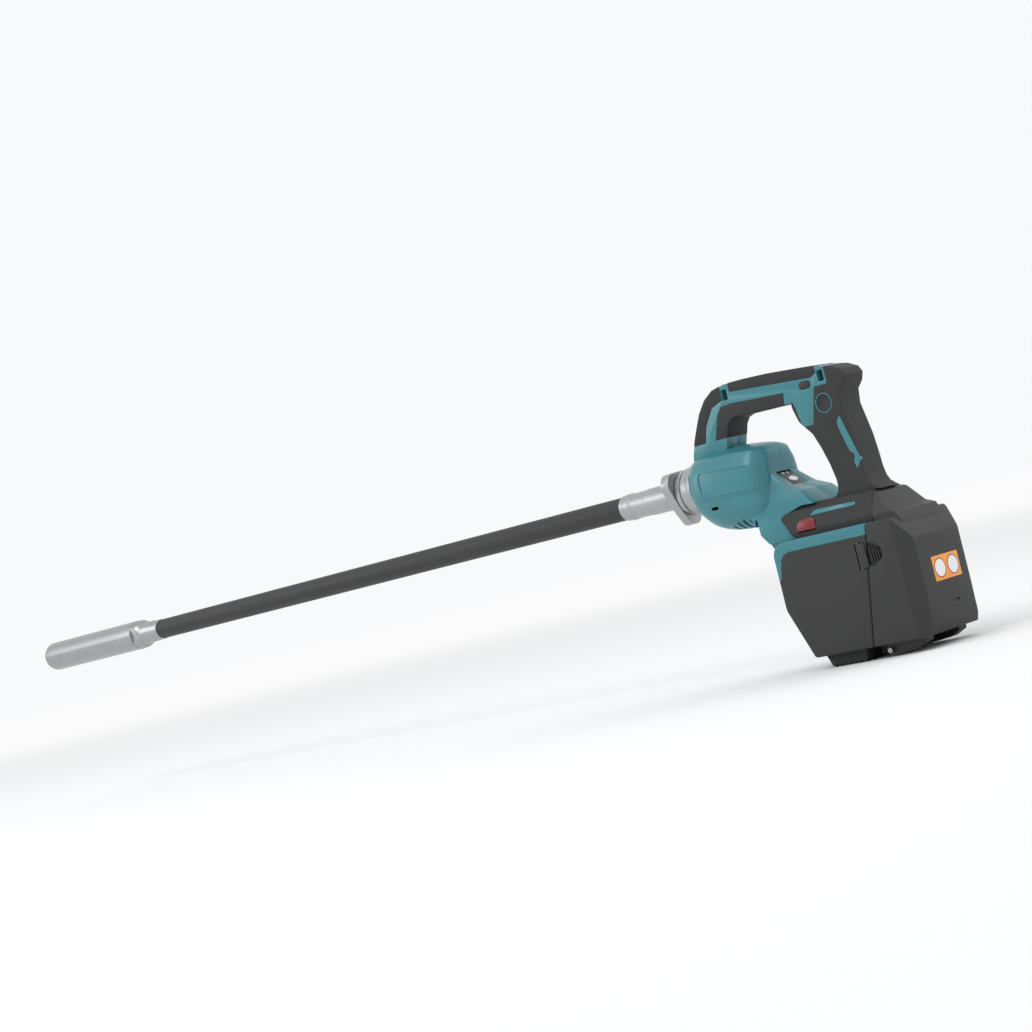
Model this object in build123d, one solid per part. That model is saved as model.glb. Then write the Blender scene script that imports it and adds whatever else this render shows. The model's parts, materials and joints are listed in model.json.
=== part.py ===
# Cordless concrete vibrator: a D-handled motor unit with a battery case, a semi-rigid
# drive hose and a steel vibrating head.  Millimetres.  The shaft axis runs along X with
# the head towards -X, Z is up, and the origin is under the middle of the machine, on the
# plane that it stands on.
import os
from math import cos, radians, sin

from build123d import *

# ---- driving dimensions -------------------------------------------------------------
shaft_z = 202.5              # height of the shaft axis over the standing plane
half_length = 728.0          # half of the overall length
running_gap = 0.05           # radial clearance of every running fit
skin_gap = 0.3               # clearance between parts that move past each other

head_radius = 19.0           # standard 38 mm vibrating head
head_bore_radius = 15.0
barrel_length = 207.0
neck_length = 50.0
neck_radius = 14.2

hose_radius = 12.5           # 25 mm hose
hose_bore_radius = 8.5
core_radius = 5.0            # flexible drive core
hose_joints = 4              # bending hinges that stand for the flexible hose
hose_joint_gap = 3.0
hose_socket_depth = 26.0     # how far the hose goes into its end fittings

ferrule_length = 72.0
flange_thickness = 10.0
flange_corner_radius = 34.0
flange_side_radius = 24.0
collar_length = 26.6
collar_radius = 25.0

housing_front_radius = 34.0
housing_radius = 43.0
housing_wall = 3.0
handle_half_width = 17.0
grip_core_half_width = 12.5

case_half_width = 50.0
case_wall = 3.0
case_floor_z = 13.0
case_top_z = 131.0
skirt_depth = 11.0

battery_width = 74.0
battery_length = 112.0
battery_height = 78.0

# ---- stations along the shaft -------------------------------------------------------
head_tip_x = -half_length
barrel_end_x = head_tip_x + barrel_length
hose_head_x = barrel_end_x + neck_length
collar_rear_x = 472.6
collar_front_x = collar_rear_x - collar_length
flange_front_x = collar_front_x - flange_thickness
hose_root_x = flange_front_x - 6.0 - ferrule_length
hose_span = hose_root_x - hose_head_x
joint_spacing = hose_span / hose_joints
hose_joint_xs = [hose_root_x - joint_spacing * (k + 0.5) for k in range(hose_joints)]

nodes = {}


# ---- helpers ------------------------------------------------------------------------
def ring(x_start, x_end, outer, inner=0.0, centre_z=shaft_z):
    """A disc or tube along X between two stations."""
    length = x_end - x_start
    place = Location((x_start + length / 2, 0, centre_z), (0, 90, 0))
    solid = Cylinder(outer, length)
    if inner > 0:
        solid -= Cylinder(inner, length * 2)
    return place * solid


def turned(profile):
    """Revolve (x, radius) points, closed along the shaft axis, about that axis."""
    points = [(x, shaft_z + radius) for x, radius in profile]
    outline = Plane.XZ * make_face(Polyline(points, close=True))
    return revolve(outline, Axis((0, 0, shaft_z), (1, 0, 0)))


def plate(points, half_width, y=0.0):
    """A side outline of (x, z) points, extruded equally both ways along Y."""
    face = Plane.XZ * make_face(Polyline(points, close=True))
    return Pos(0, y, 0) * extrude(face, amount=half_width, both=True)


def block(x_range, y_range, z_range):
    """A box given by its limits."""
    sizes = [high - low for low, high in (x_range, y_range, z_range)]
    middle = [(high + low) / 2 for low, high in (x_range, y_range, z_range)]
    return Pos(*middle) * Box(*sizes)


def pin_y(x, z, radius, y_start, y_end):
    """A round pin along Y."""
    return Pos(x, (y_start + y_end) / 2, z) * Rot(90, 0, 0) * Cylinder(radius, y_end - y_start)


def rounded_sides(solid, radius):
    """Round the edges of the two faces that look along Y."""
    faces = solid.faces().sort_by(Axis.Y)
    edges = faces[0].edges() + faces[-1].edges()
    return fillet(edges, radius)


left_half = block((-900, 900), (-200, 0), (-50, 400))
right_half = block((-900, 900), (0, 200), (-50, 400))


def clamshell(name, solid):
    """Part a shell on the middle plane into its left and right mouldings."""
    nodes[name + "_left"] = solid & left_half
    nodes[name + "_right"] = solid & right_half


# ---- vibrating head -----------------------------------------------------------------
tip_round = 12.0
head_floor = 12.0
head_bearing_width = 11.0
journal_radius = 6.0
thread_depth = 24.0


def make_head():
    tip_arc = [(head_tip_x + tip_round * (1 - cos(a)), head_radius - tip_round * (1 - sin(a)))
               for a in (radians(15 * step) for step in range(7))]
    outer = turned([(head_tip_x, 0)] + tip_arc + [(barrel_end_x, head_radius), (barrel_end_x, 0)])
    bore = ring(head_tip_x + head_floor, barrel_end_x + 1, head_bore_radius)
    nodes["head_barrel"] = outer - bore

    spigot_x = barrel_end_x - thread_depth
    neck = turned([
        (spigot_x, 0), (spigot_x, head_bore_radius), (barrel_end_x, head_bore_radius),
        (barrel_end_x, head_radius - 0.6), (barrel_end_x + 7, head_radius - 0.6),
        (barrel_end_x + 16, neck_radius), (hose_head_x - 14, neck_radius - 0.4),
        (hose_head_x - 12, neck_radius - 1.0), (hose_head_x, neck_radius - 1.0), (hose_head_x, 0)])
    neck -= ring(hose_head_x - hose_socket_depth, hose_head_x + 1, hose_radius)
    neck -= ring(spigot_x - 1, hose_head_x, hose_bore_radius)
    flat_distance = 15.6
    for side in (-1, 1):
        cutter_limits = sorted((side * flat_distance, side * 40))
        neck -= block((barrel_end_x + 0.8, barrel_end_x + 15), cutter_limits, (150, 250))
    nodes["head_neck"] = neck

    front_x = head_tip_x + head_floor
    rear_x = spigot_x - 8 - head_bearing_width
    bearings = [ring(x, x + head_bearing_width, head_bore_radius, journal_radius + running_gap)
                for x in (front_x, rear_x)]
    nodes["head_bearings"] = Compound(children=bearings)
    nodes["head_oil_seal"] = ring(spigot_x - 7, spigot_x - 1, head_bore_radius, journal_radius + running_gap)

    weight_start = front_x + head_bearing_width + 3
    weight_end = rear_x - 3
    weight = ring(weight_start, weight_end, head_bore_radius - 1.5)
    weight &= block((weight_start, weight_end), (-30, 30), (shaft_z - 30, shaft_z + 2))
    shaft = ring(front_x + 1, spigot_x + 4, journal_radius)
    nodes["eccentric_shaft"] = weight + shaft


# ---- drive hose ---------------------------------------------------------------------
def make_hose():
    ends = [hose_root_x + hose_socket_depth]
    for x in hose_joint_xs:
        ends += [x + hose_joint_gap / 2, x - hose_joint_gap / 2]
    ends.append(hose_head_x - hose_socket_depth)
    names = ["hose_root"] + [f"hose_segment_{k}" for k in range(1, hose_joints)] + ["hose_head_end"]
    for name, start, end in zip(names, ends[0::2], ends[1::2]):
        nodes[name] = ring(end, start, hose_radius, hose_bore_radius)

    coupling_x = collar_front_x + 4
    core_ends = [coupling_x] + ends[1:-1] + [barrel_end_x - thread_depth + 5]
    core_names = ["drive_core_root"] + [f"drive_core_{k}" for k in range(1, hose_joints)] + ["drive_core_head"]
    for name, start, end in zip(core_names, core_ends[0::2], core_ends[1::2]):
        nodes[name] = ring(end, start, core_radius)


# ---- hose end fittings on the motor unit ---------------------------------------------
def make_fittings():
    start = hose_root_x
    boss_front = flange_front_x - 6.0
    ferrule = turned([
        (start, 0), (start, 13.2), (start + 1, 13.5), (start + 6, 13.5), (start + 7, 14.2),
        (start + 14, 14.2), (start + 15, 13.6), (start + 35, 13.6), (start + 37, 14.3),
        (boss_front, 14.3), (boss_front, 19.5), (flange_front_x, 20.5), (flange_front_x, 0)])
    ferrule -= ring(start - 1, start + hose_socket_depth, hose_radius)
    ferrule -= ring(start, flange_front_x + 1, hose_bore_radius)
    nodes["hose_ferrule"] = ferrule

    corner_half_angle = 11.0
    outline = []
    for lobe in (30, 150, 270):
        for angle in (lobe - corner_half_angle, lobe + corner_half_angle):
            outline.append((flange_corner_radius * cos(radians(angle)),
                            flange_corner_radius * sin(radians(angle))))
        middle = radians(lobe + 60)
        for spread in (-16, 16):
            angle = middle + radians(spread)
            reach = flange_side_radius / cos(radians(spread))
            outline.append((reach * cos(angle), reach * sin(angle)))
    face = Plane.YZ * make_face(Polyline(outline, close=True))
    flange = Pos(flange_front_x, 0, shaft_z) * extrude(face, amount=flange_thickness)
    nodes["hose_flange"] = flange - ring(flange_front_x - 1, collar_front_x + 1, hose_bore_radius)

    front = collar_front_x
    collar = turned([
        (front, 0), (front, collar_radius - 2.5), (front + 1.5, collar_radius - 1),
        (front + 6, collar_radius - 1), (front + 6.5, collar_radius - 2.6),
        (front + 9, collar_radius - 2.6), (front + 9.5, collar_radius), (front + 18, collar_radius),
        (front + 20, collar_radius + 3), (collar_rear_x, collar_radius + 4),
        (collar_rear_x, 16), (collar_rear_x + 13, 16), (collar_rear_x + 13, 0)])
    collar -= ring(front - 1, collar_rear_x + 2, 11.0)
    collar -= ring(collar_rear_x, collar_rear_x + 20, front_bearing_radius)
    nodes["front_collar"] = collar


# ---- motor --------------------------------------------------------------------------
motor_shaft_radius = 4.0
front_bearing_radius = 13.0
rear_bearing_radius = 11.0
stator_front_x = 495.0
stator_rear_x = 533.0
stator_radius = 29.5
rotor_radius = 17.5
fan_x = 539.0
fan_width = 8.0
fan_radius = 27.0
rear_bearing_x = 550.0
tooth_count = 6


def make_motor():
    nodes["front_bearing"] = ring(collar_rear_x + 2, collar_rear_x + 11, front_bearing_radius,
                                  motor_shaft_radius + running_gap)
    nodes["rear_bearing"] = ring(rear_bearing_x, rear_bearing_x + 7, rear_bearing_radius,
                                 motor_shaft_radius + running_gap)
    yoke = ring(stator_front_x, stator_rear_x, stator_radius, stator_radius - 4.5)
    for k in range(tooth_count):
        tooth = block((stator_front_x, stator_rear_x), (-4.5, 4.5), (rotor_radius + 0.6, stator_radius - 2))
        yoke += Pos(0, 0, shaft_z) * Rot(k * 360 / tooth_count, 0, 0) * tooth
    bore = ring(stator_front_x - 1, stator_rear_x + 1, rotor_radius + 0.5)
    nodes["motor_stator"] = yoke - bore
    winding = ring(stator_front_x - 4, stator_rear_x + 4, stator_radius - 4.5, rotor_radius + 1.5)
    nodes["stator_windings"] = winding - nodes["motor_stator"]

    nodes["rotor_core"] = ring(stator_front_x + 1, stator_rear_x - 1, rotor_radius, motor_shaft_radius)
    nodes["rotor_shaft"] = ring(collar_front_x + 16, rear_bearing_x + 8, motor_shaft_radius)
    sleeve = ring(collar_front_x + 4, collar_front_x + 24, 9.0)
    nodes["drive_coupling"] = sleeve - ring(collar_front_x + 16, collar_front_x + 30, motor_shaft_radius)

    fan = ring(fan_x, fan_x + 2, fan_radius) + ring(fan_x, fan_x + fan_width, 9.0)
    for k in range(12):
        blade = block((fan_x + 1, fan_x + fan_width), (-0.7, 0.7), (8, fan_radius))
        fan += Pos(0, 0, shaft_z) * Rot(k * 30, 0, 0) * blade
    nodes["cooling_fan"] = fan - ring(fan_x - 1, fan_x + fan_width + 1, motor_shaft_radius)


# ---- motor housing and neck ----------------------------------------------------------
def housing_loft(inset):
    """The egg-shaped barrel that holds the motor, drawn in by a wall thickness."""
    stations = (
        (collar_rear_x, housing_front_radius - 2.0, housing_front_radius - 2.0, shaft_z),
        (collar_rear_x + 8, housing_front_radius + 2.0, housing_front_radius + 0.5, shaft_z - 0.5),
        (505.0, housing_radius - 1, housing_radius - 0.5, shaft_z - 8.5),
        (545.0, housing_radius, housing_radius, shaft_z - 11.0),
        (562.0, housing_radius - 4, housing_radius - 5.5, shaft_z - 12.5),
        (573.0, housing_radius - 11, housing_radius - 13, shaft_z - 14.0))
    sections = []
    for x, half_width, half_height, centre in stations:
        face = Plane.YZ * Ellipse(half_width - inset, half_height - inset)
        sections.append(Pos(x, 0, centre) * face)
    return loft(sections)


neck_outline = [(540, 160), (548, 141), (556, 131), (636, 131), (636, 158.5), (611, 161), (598, 176),
                (594, 182), (564, 201), (550, 206)]
neck_half_width = 31.0
neck_inner = [(550, 158), (560, 134), (630, 134), (630, 155.5), (610, 157.5), (594, 175), (562, 195),
              (552, 198)]
panel_slope = 32.0
panel_centre = (580.0, 191.0)
panel_length = 32.0
panel_width = 23.0
panel_thickness = 2.4


def panel_frame(along, up, y=0.0):
    """A point given along and over the sloping control panel."""
    slope = radians(panel_slope)
    x = panel_centre[0] + along * cos(slope) + up * sin(slope)
    z = panel_centre[1] - along * sin(slope) + up * cos(slope)
    return Location((x, y, z), (0, panel_slope, 0))


def make_housing():
    barrel = housing_loft(0)
    neck = rounded_sides(plate(neck_outline, neck_half_width), 9.0)
    outer = barrel + neck
    cavity = housing_loft(housing_wall) - block((400, collar_rear_x + 3.5), (-80, 80), (100, 300))
    cavity -= block((568.0, 700), (-80, 80), (100, 300))
    cavity += plate(neck_inner, neck_half_width - housing_wall)
    shell = outer - cavity
    shell -= ring(collar_rear_x - 5, collar_rear_x + 14, 16.0)
    rear_wall = ring(rear_bearing_x, rear_bearing_x + 10, rear_bearing_radius + 4) & cavity
    web = block((rear_bearing_x, rear_bearing_x + 3), (-44, 44), (140, 240)) & cavity
    saddle = block((510, 516), (-44, 44), (140, 240)) & cavity
    saddle -= ring(500, 520, stator_radius)
    shell = shell + rear_wall + web + saddle
    for x, z in housing_screw_places:
        shell += pin_y(x, z, 4.6, -30, 30) & outer
    shell -= ring(rear_bearing_x - 2, rear_bearing_x + 7, rear_bearing_radius)
    shell -= ring(rear_bearing_x, rear_bearing_x + 12, motor_shaft_radius + 2)
    for k in range(5):
        slot = block((512 + 8 * k, 516 + 8 * k), (-60, 60), (140, 158))
        shell -= slot
    panel_pocket = panel_frame(0, -panel_thickness / 2) * Box(panel_length, panel_width, panel_thickness)
    button_well = panel_frame(2, -panel_thickness - 2) * Cylinder(5.2, 8)
    shell -= panel_pocket
    shell -= button_well
    return shell


def make_control_panel():
    panel = panel_frame(0, -panel_thickness / 2) * Box(panel_length, panel_width, panel_thickness)
    button_place = panel_frame(2, -0.4)
    button = button_place * extrude(Ellipse(4.0, 6.0), amount=1.0)
    opening = panel_frame(2, -6) * extrude(Ellipse(4.0 + skin_gap, 6.0 + skin_gap), amount=12)
    nodes["control_panel"] = panel - opening
    stem = panel_frame(2, -4.0) * extrude(Circle(2.6), amount=3.6)
    nodes["power_button"] = button + stem


# ---- D-handle ------------------------------------------------------------------------
handle_outer = [(474, 226), (478, 238), (483, 250), (496, 277), (507, 290), (520, 296.5), (536, 299.5),
                (582, 298), (622, 294), (650, 290.5), (668, 286), (679, 279), (681, 271), (676, 266),
                (669, 260), (669, 245), (672, 230), (675, 215), (676.5, 193), (677, 172), (683, 160)]
handle_foot = [(636, 160)]
handle_inner = [(642, 168), (642.5, 176), (639.5, 193), (634, 212), (628, 228), (622, 235), (612, 237.5),
                (609, 262), (540, 264.5), (533, 262), (528, 256), (520, 232)]
outer_pad_cut = [(470, 246), (497, 246), (502, 262), (515, 279), (530, 284), (530, 302), (470, 302)]
top_pad_cut = [(541, 310), (541, 290), (642, 281), (649, 284), (649, 310)]
front_pad_cut = [(509.5, 246), (560, 246), (560, 258), (603, 258), (606, 274), (541, 278.5),
                 (526, 278), (519, 270)]
grip_cut = [(643, 310), (643, 272), (632, 236), (620, 236), (620, 150), (700, 150), (700, 310)]
strap_slots = ((534.0, 288.5), (653.5, 280.5))
handle_screw_places = ((506, 256), (590, 280.5), (646, 222))
housing_screw_places = ((483, 227), (483, 177), (572, 146))
trigger_half_width = 9.5
boss_x = 650.0
boss_z = 253.8
boss_radius = 8.6
boss_floor = 10.2


def strap_slot(x, z):
    """A through slot across the handle for a carrying strap."""
    return block((x - 3.6, x + 3.6), (-30, 30), (z - 5.5, z + 5.5))


def make_handle():
    loop = rounded_sides(plate(handle_outer + handle_foot + handle_inner, handle_half_width), 4.0)
    housing = nodes["housing_blank"]
    loop -= housing
    for x, z in strap_slots:
        loop -= strap_slot(x, z)

    grip = loop & plate(grip_cut, 40)
    core = plate([(636, 284), (664, 280), (661, 245), (664, 229), (667, 212), (668, 193), (668, 161),
                  (650, 161), (650, 176), (647, 195), (642, 214), (634, 236)], grip_core_half_width)
    grip_shell = grip - core
    outer_pad = (loop & (plate(outer_pad_cut, 40) + plate(top_pad_cut, 40))) - grip
    inner_pad = loop & plate(front_pad_cut, 40)
    teal = loop - grip_shell - outer_pad - inner_pad

    switch_room = block((619.5, 655), (-11, 11), (237.6, 270))
    trigger_slot = block((607, 622), (-trigger_half_width - 0.5, trigger_half_width + 0.5), (232, 271))
    lead_way = plate([(645, 245), (655, 245), (663, 178), (663, 150), (656, 150), (656, 178)], 5)
    for cutter in (switch_room, trigger_slot, lead_way):
        teal -= cutter
        inner_pad -= cutter
        grip_shell -= cutter
    lock_hole = Pos(633, 0, 275.5) * Rot(90, 0, 0) * extrude(SlotOverall(14.6, 7.6), amount=40, both=True)
    teal -= lock_hole
    boss_hole = pin_y(boss_x, boss_z, boss_radius + skin_gap, -40, -boss_floor)
    teal -= boss_hole
    grip_shell -= boss_hole
    nodes["outer_grip_pad"] = outer_pad
    nodes["inner_grip_pad"] = inner_pad
    nodes["rear_grip_overmould"] = grip_shell
    clamshell("handle_shell", teal)


# ---- trigger, switch and buttons ------------------------------------------------------
trigger_pivot = (617.5, 267.0)
switch_front_x = 627.0


def make_controls():
    finger = [(610.5, 263), (611.5, 256), (613.5, 249), (614.5, 241), (617, 238.5), (620.5, 238.5),
              (621.5, 249), (621.3, 266), (617.5, 270), (613, 269)]
    trigger = rounded_sides(plate(finger, trigger_half_width), 1.5)
    nodes["trigger"] = trigger - pin_y(*trigger_pivot, 1.5 + running_gap, -20, 20)
    nodes["trigger_pin"] = pin_y(*trigger_pivot, 1.5, -13, 13)
    for side in ("left", "right"):
        nodes["handle_shell_" + side] -= nodes["trigger_pin"]
    nodes["inner_grip_pad"] -= nodes["trigger_pin"]
    nodes["switch_plunger"] = ring(621.9, switch_front_x + 6, 2.5, centre_z=247.0)
    body = block((switch_front_x, 651), (-9.5, 9.5), (241, 267))
    body -= ring(switch_front_x - 1, switch_front_x + 12, 2.5 + running_gap, centre_z=247.0)
    nodes["switch_unit"] = body

    pill = Rot(90, 0, 0) * extrude(SlotOverall(14.6 - 2 * skin_gap, 7.6 - 2 * skin_gap), amount=16.8, both=True)
    nodes["lock_off_button"] = Pos(633, 0, 275.5) * pill
    cap = pin_y(boss_x, boss_z, boss_radius, -17.2, -12.6)
    dish = Pos(boss_x, -26.0, boss_z) * Sphere(12.0)
    nodes["lock_on_button"] = cap - dish


# ---- grip base, skirt and battery case --------------------------------------------------
split_low = (661.0, case_floor_z)
split_high = (685.0, case_top_z)
base_outline = [(578, 152.5), (582, 156), (604, 163), (636, 160), (683, 160), (686, 157), (686, case_top_z),
                (590, case_top_z)]
case_outline = [(570, 64), (570, 119), (573, 126), (582, case_top_z), split_high, split_low,
                (591, case_floor_z)]
case_room = [(574, 64), (574, 117), (583, 126), (700, 126), (700, 16.5), (593, 16.5)]
lid_outline = [(split_low[0] + skin_gap, case_floor_z), (split_high[0] + skin_gap, case_top_z),
               (713, case_top_z), (728, 108), (728, 55), (727, 22), (722, case_floor_z)]
spine_outline = [(686.5, case_top_z), (686.5, 158.5), (691, 157), (703, 139), (713, 135), (718, 124),
                 (700, 118)]
lid_room = [(655, 16.5), (676, 126), (708, 126), (723.5, 106), (724, 55), (723, 24), (719, 16.5)]
hinge_x = 672.0
hinge_z = 6.5
hinge_radius = 6.0
hinge_pin_radius = 2.5


def sloped_sides(solid):
    """Take the upper corners off, so that the sides lean in like a roof."""
    for side in (-1, 1):
        slope = [(side * 17.5, 165), (side * 26.0, 158), (side * 36.5, 136), (side * 60, 136), (side * 60, 165)]
        cutter = Plane.YZ * make_face(Polyline(slope, close=True))
        solid -= Pos(500, 0, 0) * extrude(cutter, amount=300)
    return solid


def make_grip_base():
    base = sloped_sides(plate(base_outline, 36.0))
    base -= nodes["housing_blank"]
    nodes["grip_base_cover"] = base - block((600, 672), (-12, 12), (120, 158))


def make_case():
    shell = rounded_sides(plate(case_outline, case_half_width), 4.0)
    shell -= plate(case_room, case_half_width - case_wall)
    deck_low = case_top_z - skirt_depth
    skirt_zone = block((560, 700), (-60, 60), (deck_low, 140))
    leg_zone = plate([(560, 140), (592, 140), (592, 119), (579, 114), (573.5, 94), (560, 94)], 60)
    skirt = shell & (skirt_zone + leg_zone)
    case = shell - skirt
    lead_hole = ring(-5, 5, 6.0, centre_z=0)
    skirt -= Pos(640, 0, case_top_z) * Rot(0, 90, 0) * lead_hole
    nodes["case_skirt"] = skirt - nodes["housing_blank"]

    case_zone = plate([(600, case_floor_z), split_low, split_high, (600, case_top_z)], 60)
    for side in (-1, 1):
        case += latch_backing(side) & case_zone
        case -= latch_pocket(side)
    case += block((hinge_x - 22, split_low[0] - 2), (-22, 22), (hinge_z - 3.5, case_floor_z + 1))
    case += block((hinge_x - 22, hinge_x), (-22, 22), (hinge_z - 3.5, hinge_z + hinge_radius - 0.5))
    case += pin_y(hinge_x, hinge_z, hinge_radius, -22, 22)
    case -= pin_y(hinge_x, hinge_z, hinge_pin_radius, -60, 60)
    nodes["battery_case"] = case
    nodes["hinge_pin"] = pin_y(hinge_x, hinge_z, hinge_pin_radius, -40, 40)


def corner_bevel(side, inset):
    """The wedge that bevels an upright rear corner of the lid."""
    points = [(713 - inset, side * 50.1), (729 - inset, side * 38.5), (745, side * 38.5), (745, side * 60),
              (713 - inset, side * 60)]
    return extrude(make_face(Polyline(points, close=True)), amount=300)


def lid_body():
    shell = rounded_sides(plate(lid_outline, case_half_width), 4.0)
    shell += sloped_sides(plate(spine_outline, 36.0))
    room = plate(lid_room, case_half_width - case_wall - 1)
    for side in (-1, 1):
        shell -= corner_bevel(side, 0)
        room -= corner_bevel(side, case_wall + 1)
    return shell - room


def make_lid():
    lid = lid_body()
    lid_zone = plate([lid_outline[0], (760, case_floor_z), (760, case_top_z), lid_outline[1]], 60)
    for side in (-1, 1):
        lid += latch_backing(side) & lid_zone
        lid -= latch_pocket(side)
        lid -= finger_scoop(side)
        low, high = sorted((side * 22.5, side * 36))
        arm = block((hinge_x, hinge_x + 40), (low, high), (hinge_z - 4.5, case_floor_z + 1))
        arm -= Pos(hinge_x + 42, 0, 0) * Rot(0, 35, 0) * block((-30, 30), (-60, 60), (-30, -2))
        lid += arm + pin_y(hinge_x, hinge_z, hinge_radius, low, high)
    lid -= pin_y(hinge_x, hinge_z, hinge_pin_radius + running_gap, -60, 60)
    label = block((half_length - 0.3, half_length), (-19, 27), (61, 85))
    nodes["battery_lid"] = lid - label
    nodes["lid_label"] = label


# ---- latches ----------------------------------------------------------------------------
latch_x = 669.5
latch_low_z = 88.5
latch_high_z = 113.5
latch_width = 10.0
latch_y = 48.0
latch_pin_radius = 1.2


def latch_backing(side):
    """A thicker stretch of wall behind the latch."""
    low, high = sorted((side * (case_half_width - 7.0), side * (case_half_width - 2.0)))
    return block((latch_x - 6, latch_x + latch_width + 18), (low, high), (latch_low_z - 5, latch_high_z + 5))


def latch_pocket(side):
    """The recess that a latch lies in, cut across the joint of case and lid."""
    low, high = sorted((side * (case_half_width - 4.2), side * 60))
    return block((latch_x - 2.2, latch_x + latch_width), (low, high), (latch_low_z - 0.6, latch_high_z + 0.6))


def finger_scoop(side):
    """A D-shaped finger recess beside the latch."""
    scoop = pin_y(latch_x + latch_width + 6, 101, 11.5, *sorted((side * 46.8, side * 60)))
    return scoop & block((latch_x + latch_width - 0.5, 760), (-70, 70), (80, 120))


def make_latches():
    pins = []
    for side, name in ((-1, "left"), (1, "right")):
        outside = side * (case_half_width + 0.4)
        inside = side * (case_half_width - 3.6)
        low, high = sorted((inside, outside))
        tab = block((latch_x + 0.2, latch_x + latch_width - 0.6), (low, high), (latch_low_z, latch_high_z))
        knuckle = Pos(latch_x, side * latch_y, 101) * Cylinder(1.9, latch_high_z - latch_low_z)
        tab += knuckle
        bore = Pos(latch_x, side * latch_y, 101) * Cylinder(latch_pin_radius + running_gap, 60)
        nodes["latch_" + name] = tab - bore
        pins.append(Pos(latch_x, side * latch_y, 101) * Cylinder(latch_pin_radius, 32))
        nodes["battery_case"] -= pins[-1]
    nodes["latch_pins"] = Compound(children=pins)


# ---- battery, rails and terminals ---------------------------------------------------------
battery_front_x = 596.0
battery_low_z = 30.0


def make_battery():
    rear_x = battery_front_x + battery_length
    low = battery_low_z
    high = low + battery_height
    half = battery_width / 2
    pack = rounded_sides(plate([(battery_front_x, low), (battery_front_x, high), (rear_x, high),
                                (rear_x, low)], half), 5.0)
    for side in (-1, 1):
        groove = sorted((side * (half - 6), side * (half + 1)))
        pack -= block((battery_front_x - 1, rear_x - 14), groove, (high - 12, high - 7))
    pack -= block((battery_front_x - 1, battery_front_x + 26), (-18, 18), (high - 9, high + 1))
    pack -= block((rear_x - 8, rear_x + 1), (-14 - skin_gap, 14 + skin_gap), (high - 20, high - 7))
    nodes["battery_pack"] = pack
    nodes["battery_button"] = block((rear_x - 5.2, rear_x + 1.0), (-14, 14), (high - 16.0, high - 7.5))

    rails = block((586, 672), (-half + 6.5, half - 6.5), (126 - 4, 126))
    for side in (-1, 1):
        wall = sorted((side * (half + 0.6), side * (half + 4.6)))
        lip = sorted((side * (half - 5.2), side * (half + 4.6)))
        rails += block((586, 672), wall, (high - 11.4, 126))
        rails += block((battery_front_x + 1, 672), lip, (high - 11.4, high - 7.6))
    rails += block((586, 672), (-half - 4.6, half + 4.6), (122, 126))
    nodes["battery_rails"] = rails & plate(case_room, 46)
    holder = block((battery_front_x - 8, battery_front_x - 1), (-17, 17), (high - 8.4, 122))
    holder += block((battery_front_x - 1, battery_front_x + 24), (-17, 17), (high + 0.6, 122))
    blades = block((battery_front_x - 2, battery_front_x - 1), (-1, 1), (high - 8, high - 7))
    for y in (-12.5, -4.5, 4.5, 12.5):
        blades += block((battery_front_x - 1, battery_front_x + 18), (y - 0.5, y + 0.5), (high - 8, high - 0.5))
        holder -= block((battery_front_x - 9, battery_front_x + 30), (y - 0.5, y + 0.5), (high - 8, high - 0.5))
    nodes["terminal_block"] = holder
    strips = [block((battery_front_x - 6, battery_front_x + 18), (y - 0.5, y + 0.5), (high - 8, high - 0.5))
              for y in (-12.5, -4.5, 4.5, 12.5)]
    nodes["terminal_blades"] = Compound(children=strips)


# ---- feet, electronics, trim and screws -----------------------------------------------------
def make_details():
    foot = plate([(597, case_floor_z), (602, 1.5), (605, 0), (640, 0), (644, 3), (646, case_floor_z)], 40)
    for k in range(6):
        foot -= block((606 + 6 * k, 608.5 + 6 * k), (-41, 41), (-1, 2.2))
    nodes["rubber_foot"] = foot

    tray = block((586, 628), (-24, 24), (136, 150)) - block((588, 626), (-22, 22), (138, 151))
    nodes["controller_tray"] = tray
    board = block((588, 626), (-22, 22), (140, 141.6))
    for x, y in ((595, -12), (595, 0), (595, 12), (607, -12), (607, 0), (607, 12)):
        board += block((x, x + 9), (y - 4, y + 4), (141.6, 145))
    board += Pos(620, 0, 145.6) * Cylinder(4.5, 8)
    nodes["controller_board"] = board

    inlay_path = [(664, 238), (659.5, 232.5), (660, 226), (666, 203), (671, 198), (668.5, 190.5), (670, 184),
                  (677, 192)]
    inlays = [plate(inlay_path, 0.5, side * 16.5) for side in (-1, 1)]
    for inlay in inlays:
        nodes["rear_grip_overmould"] -= inlay
    nodes["grip_inlays"] = Compound(children=inlays)

    screws = []
    for x, z in handle_screw_places + housing_screw_places:
        screws.append(pin_y(x, z, 1.9, -8, 8.5) + pin_y(x, z, 3.4, 8.5, 11))
    for side in ("left", "right"):
        for shell in ("handle_shell_", "motor_housing_"):
            for screw in screws:
                nodes[shell + side] -= screw
    nodes["housing_screws"] = Compound(children=screws)


def main():
    make_head()
    make_hose()
    make_fittings()
    make_motor()
    nodes["housing_blank"] = housing_loft(0) + rounded_sides(plate(neck_outline, neck_half_width), 9.0)
    shell = make_housing()
    clamshell("motor_housing", shell)
    make_control_panel()
    make_handle()
    make_controls()
    make_grip_base()
    make_case()
    make_latches()
    make_lid()
    make_battery()
    make_details()
    del nodes["housing_blank"]
    os.makedirs("parts", exist_ok=True)
    for name, solid in nodes.items():
        export_step(solid, f"parts/{name}.step")
    print(len(nodes), "nodes")


main()
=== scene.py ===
import json
from math import cos, pi, radians, sin

import bpy
from mathutils import Matrix, Vector


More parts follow.
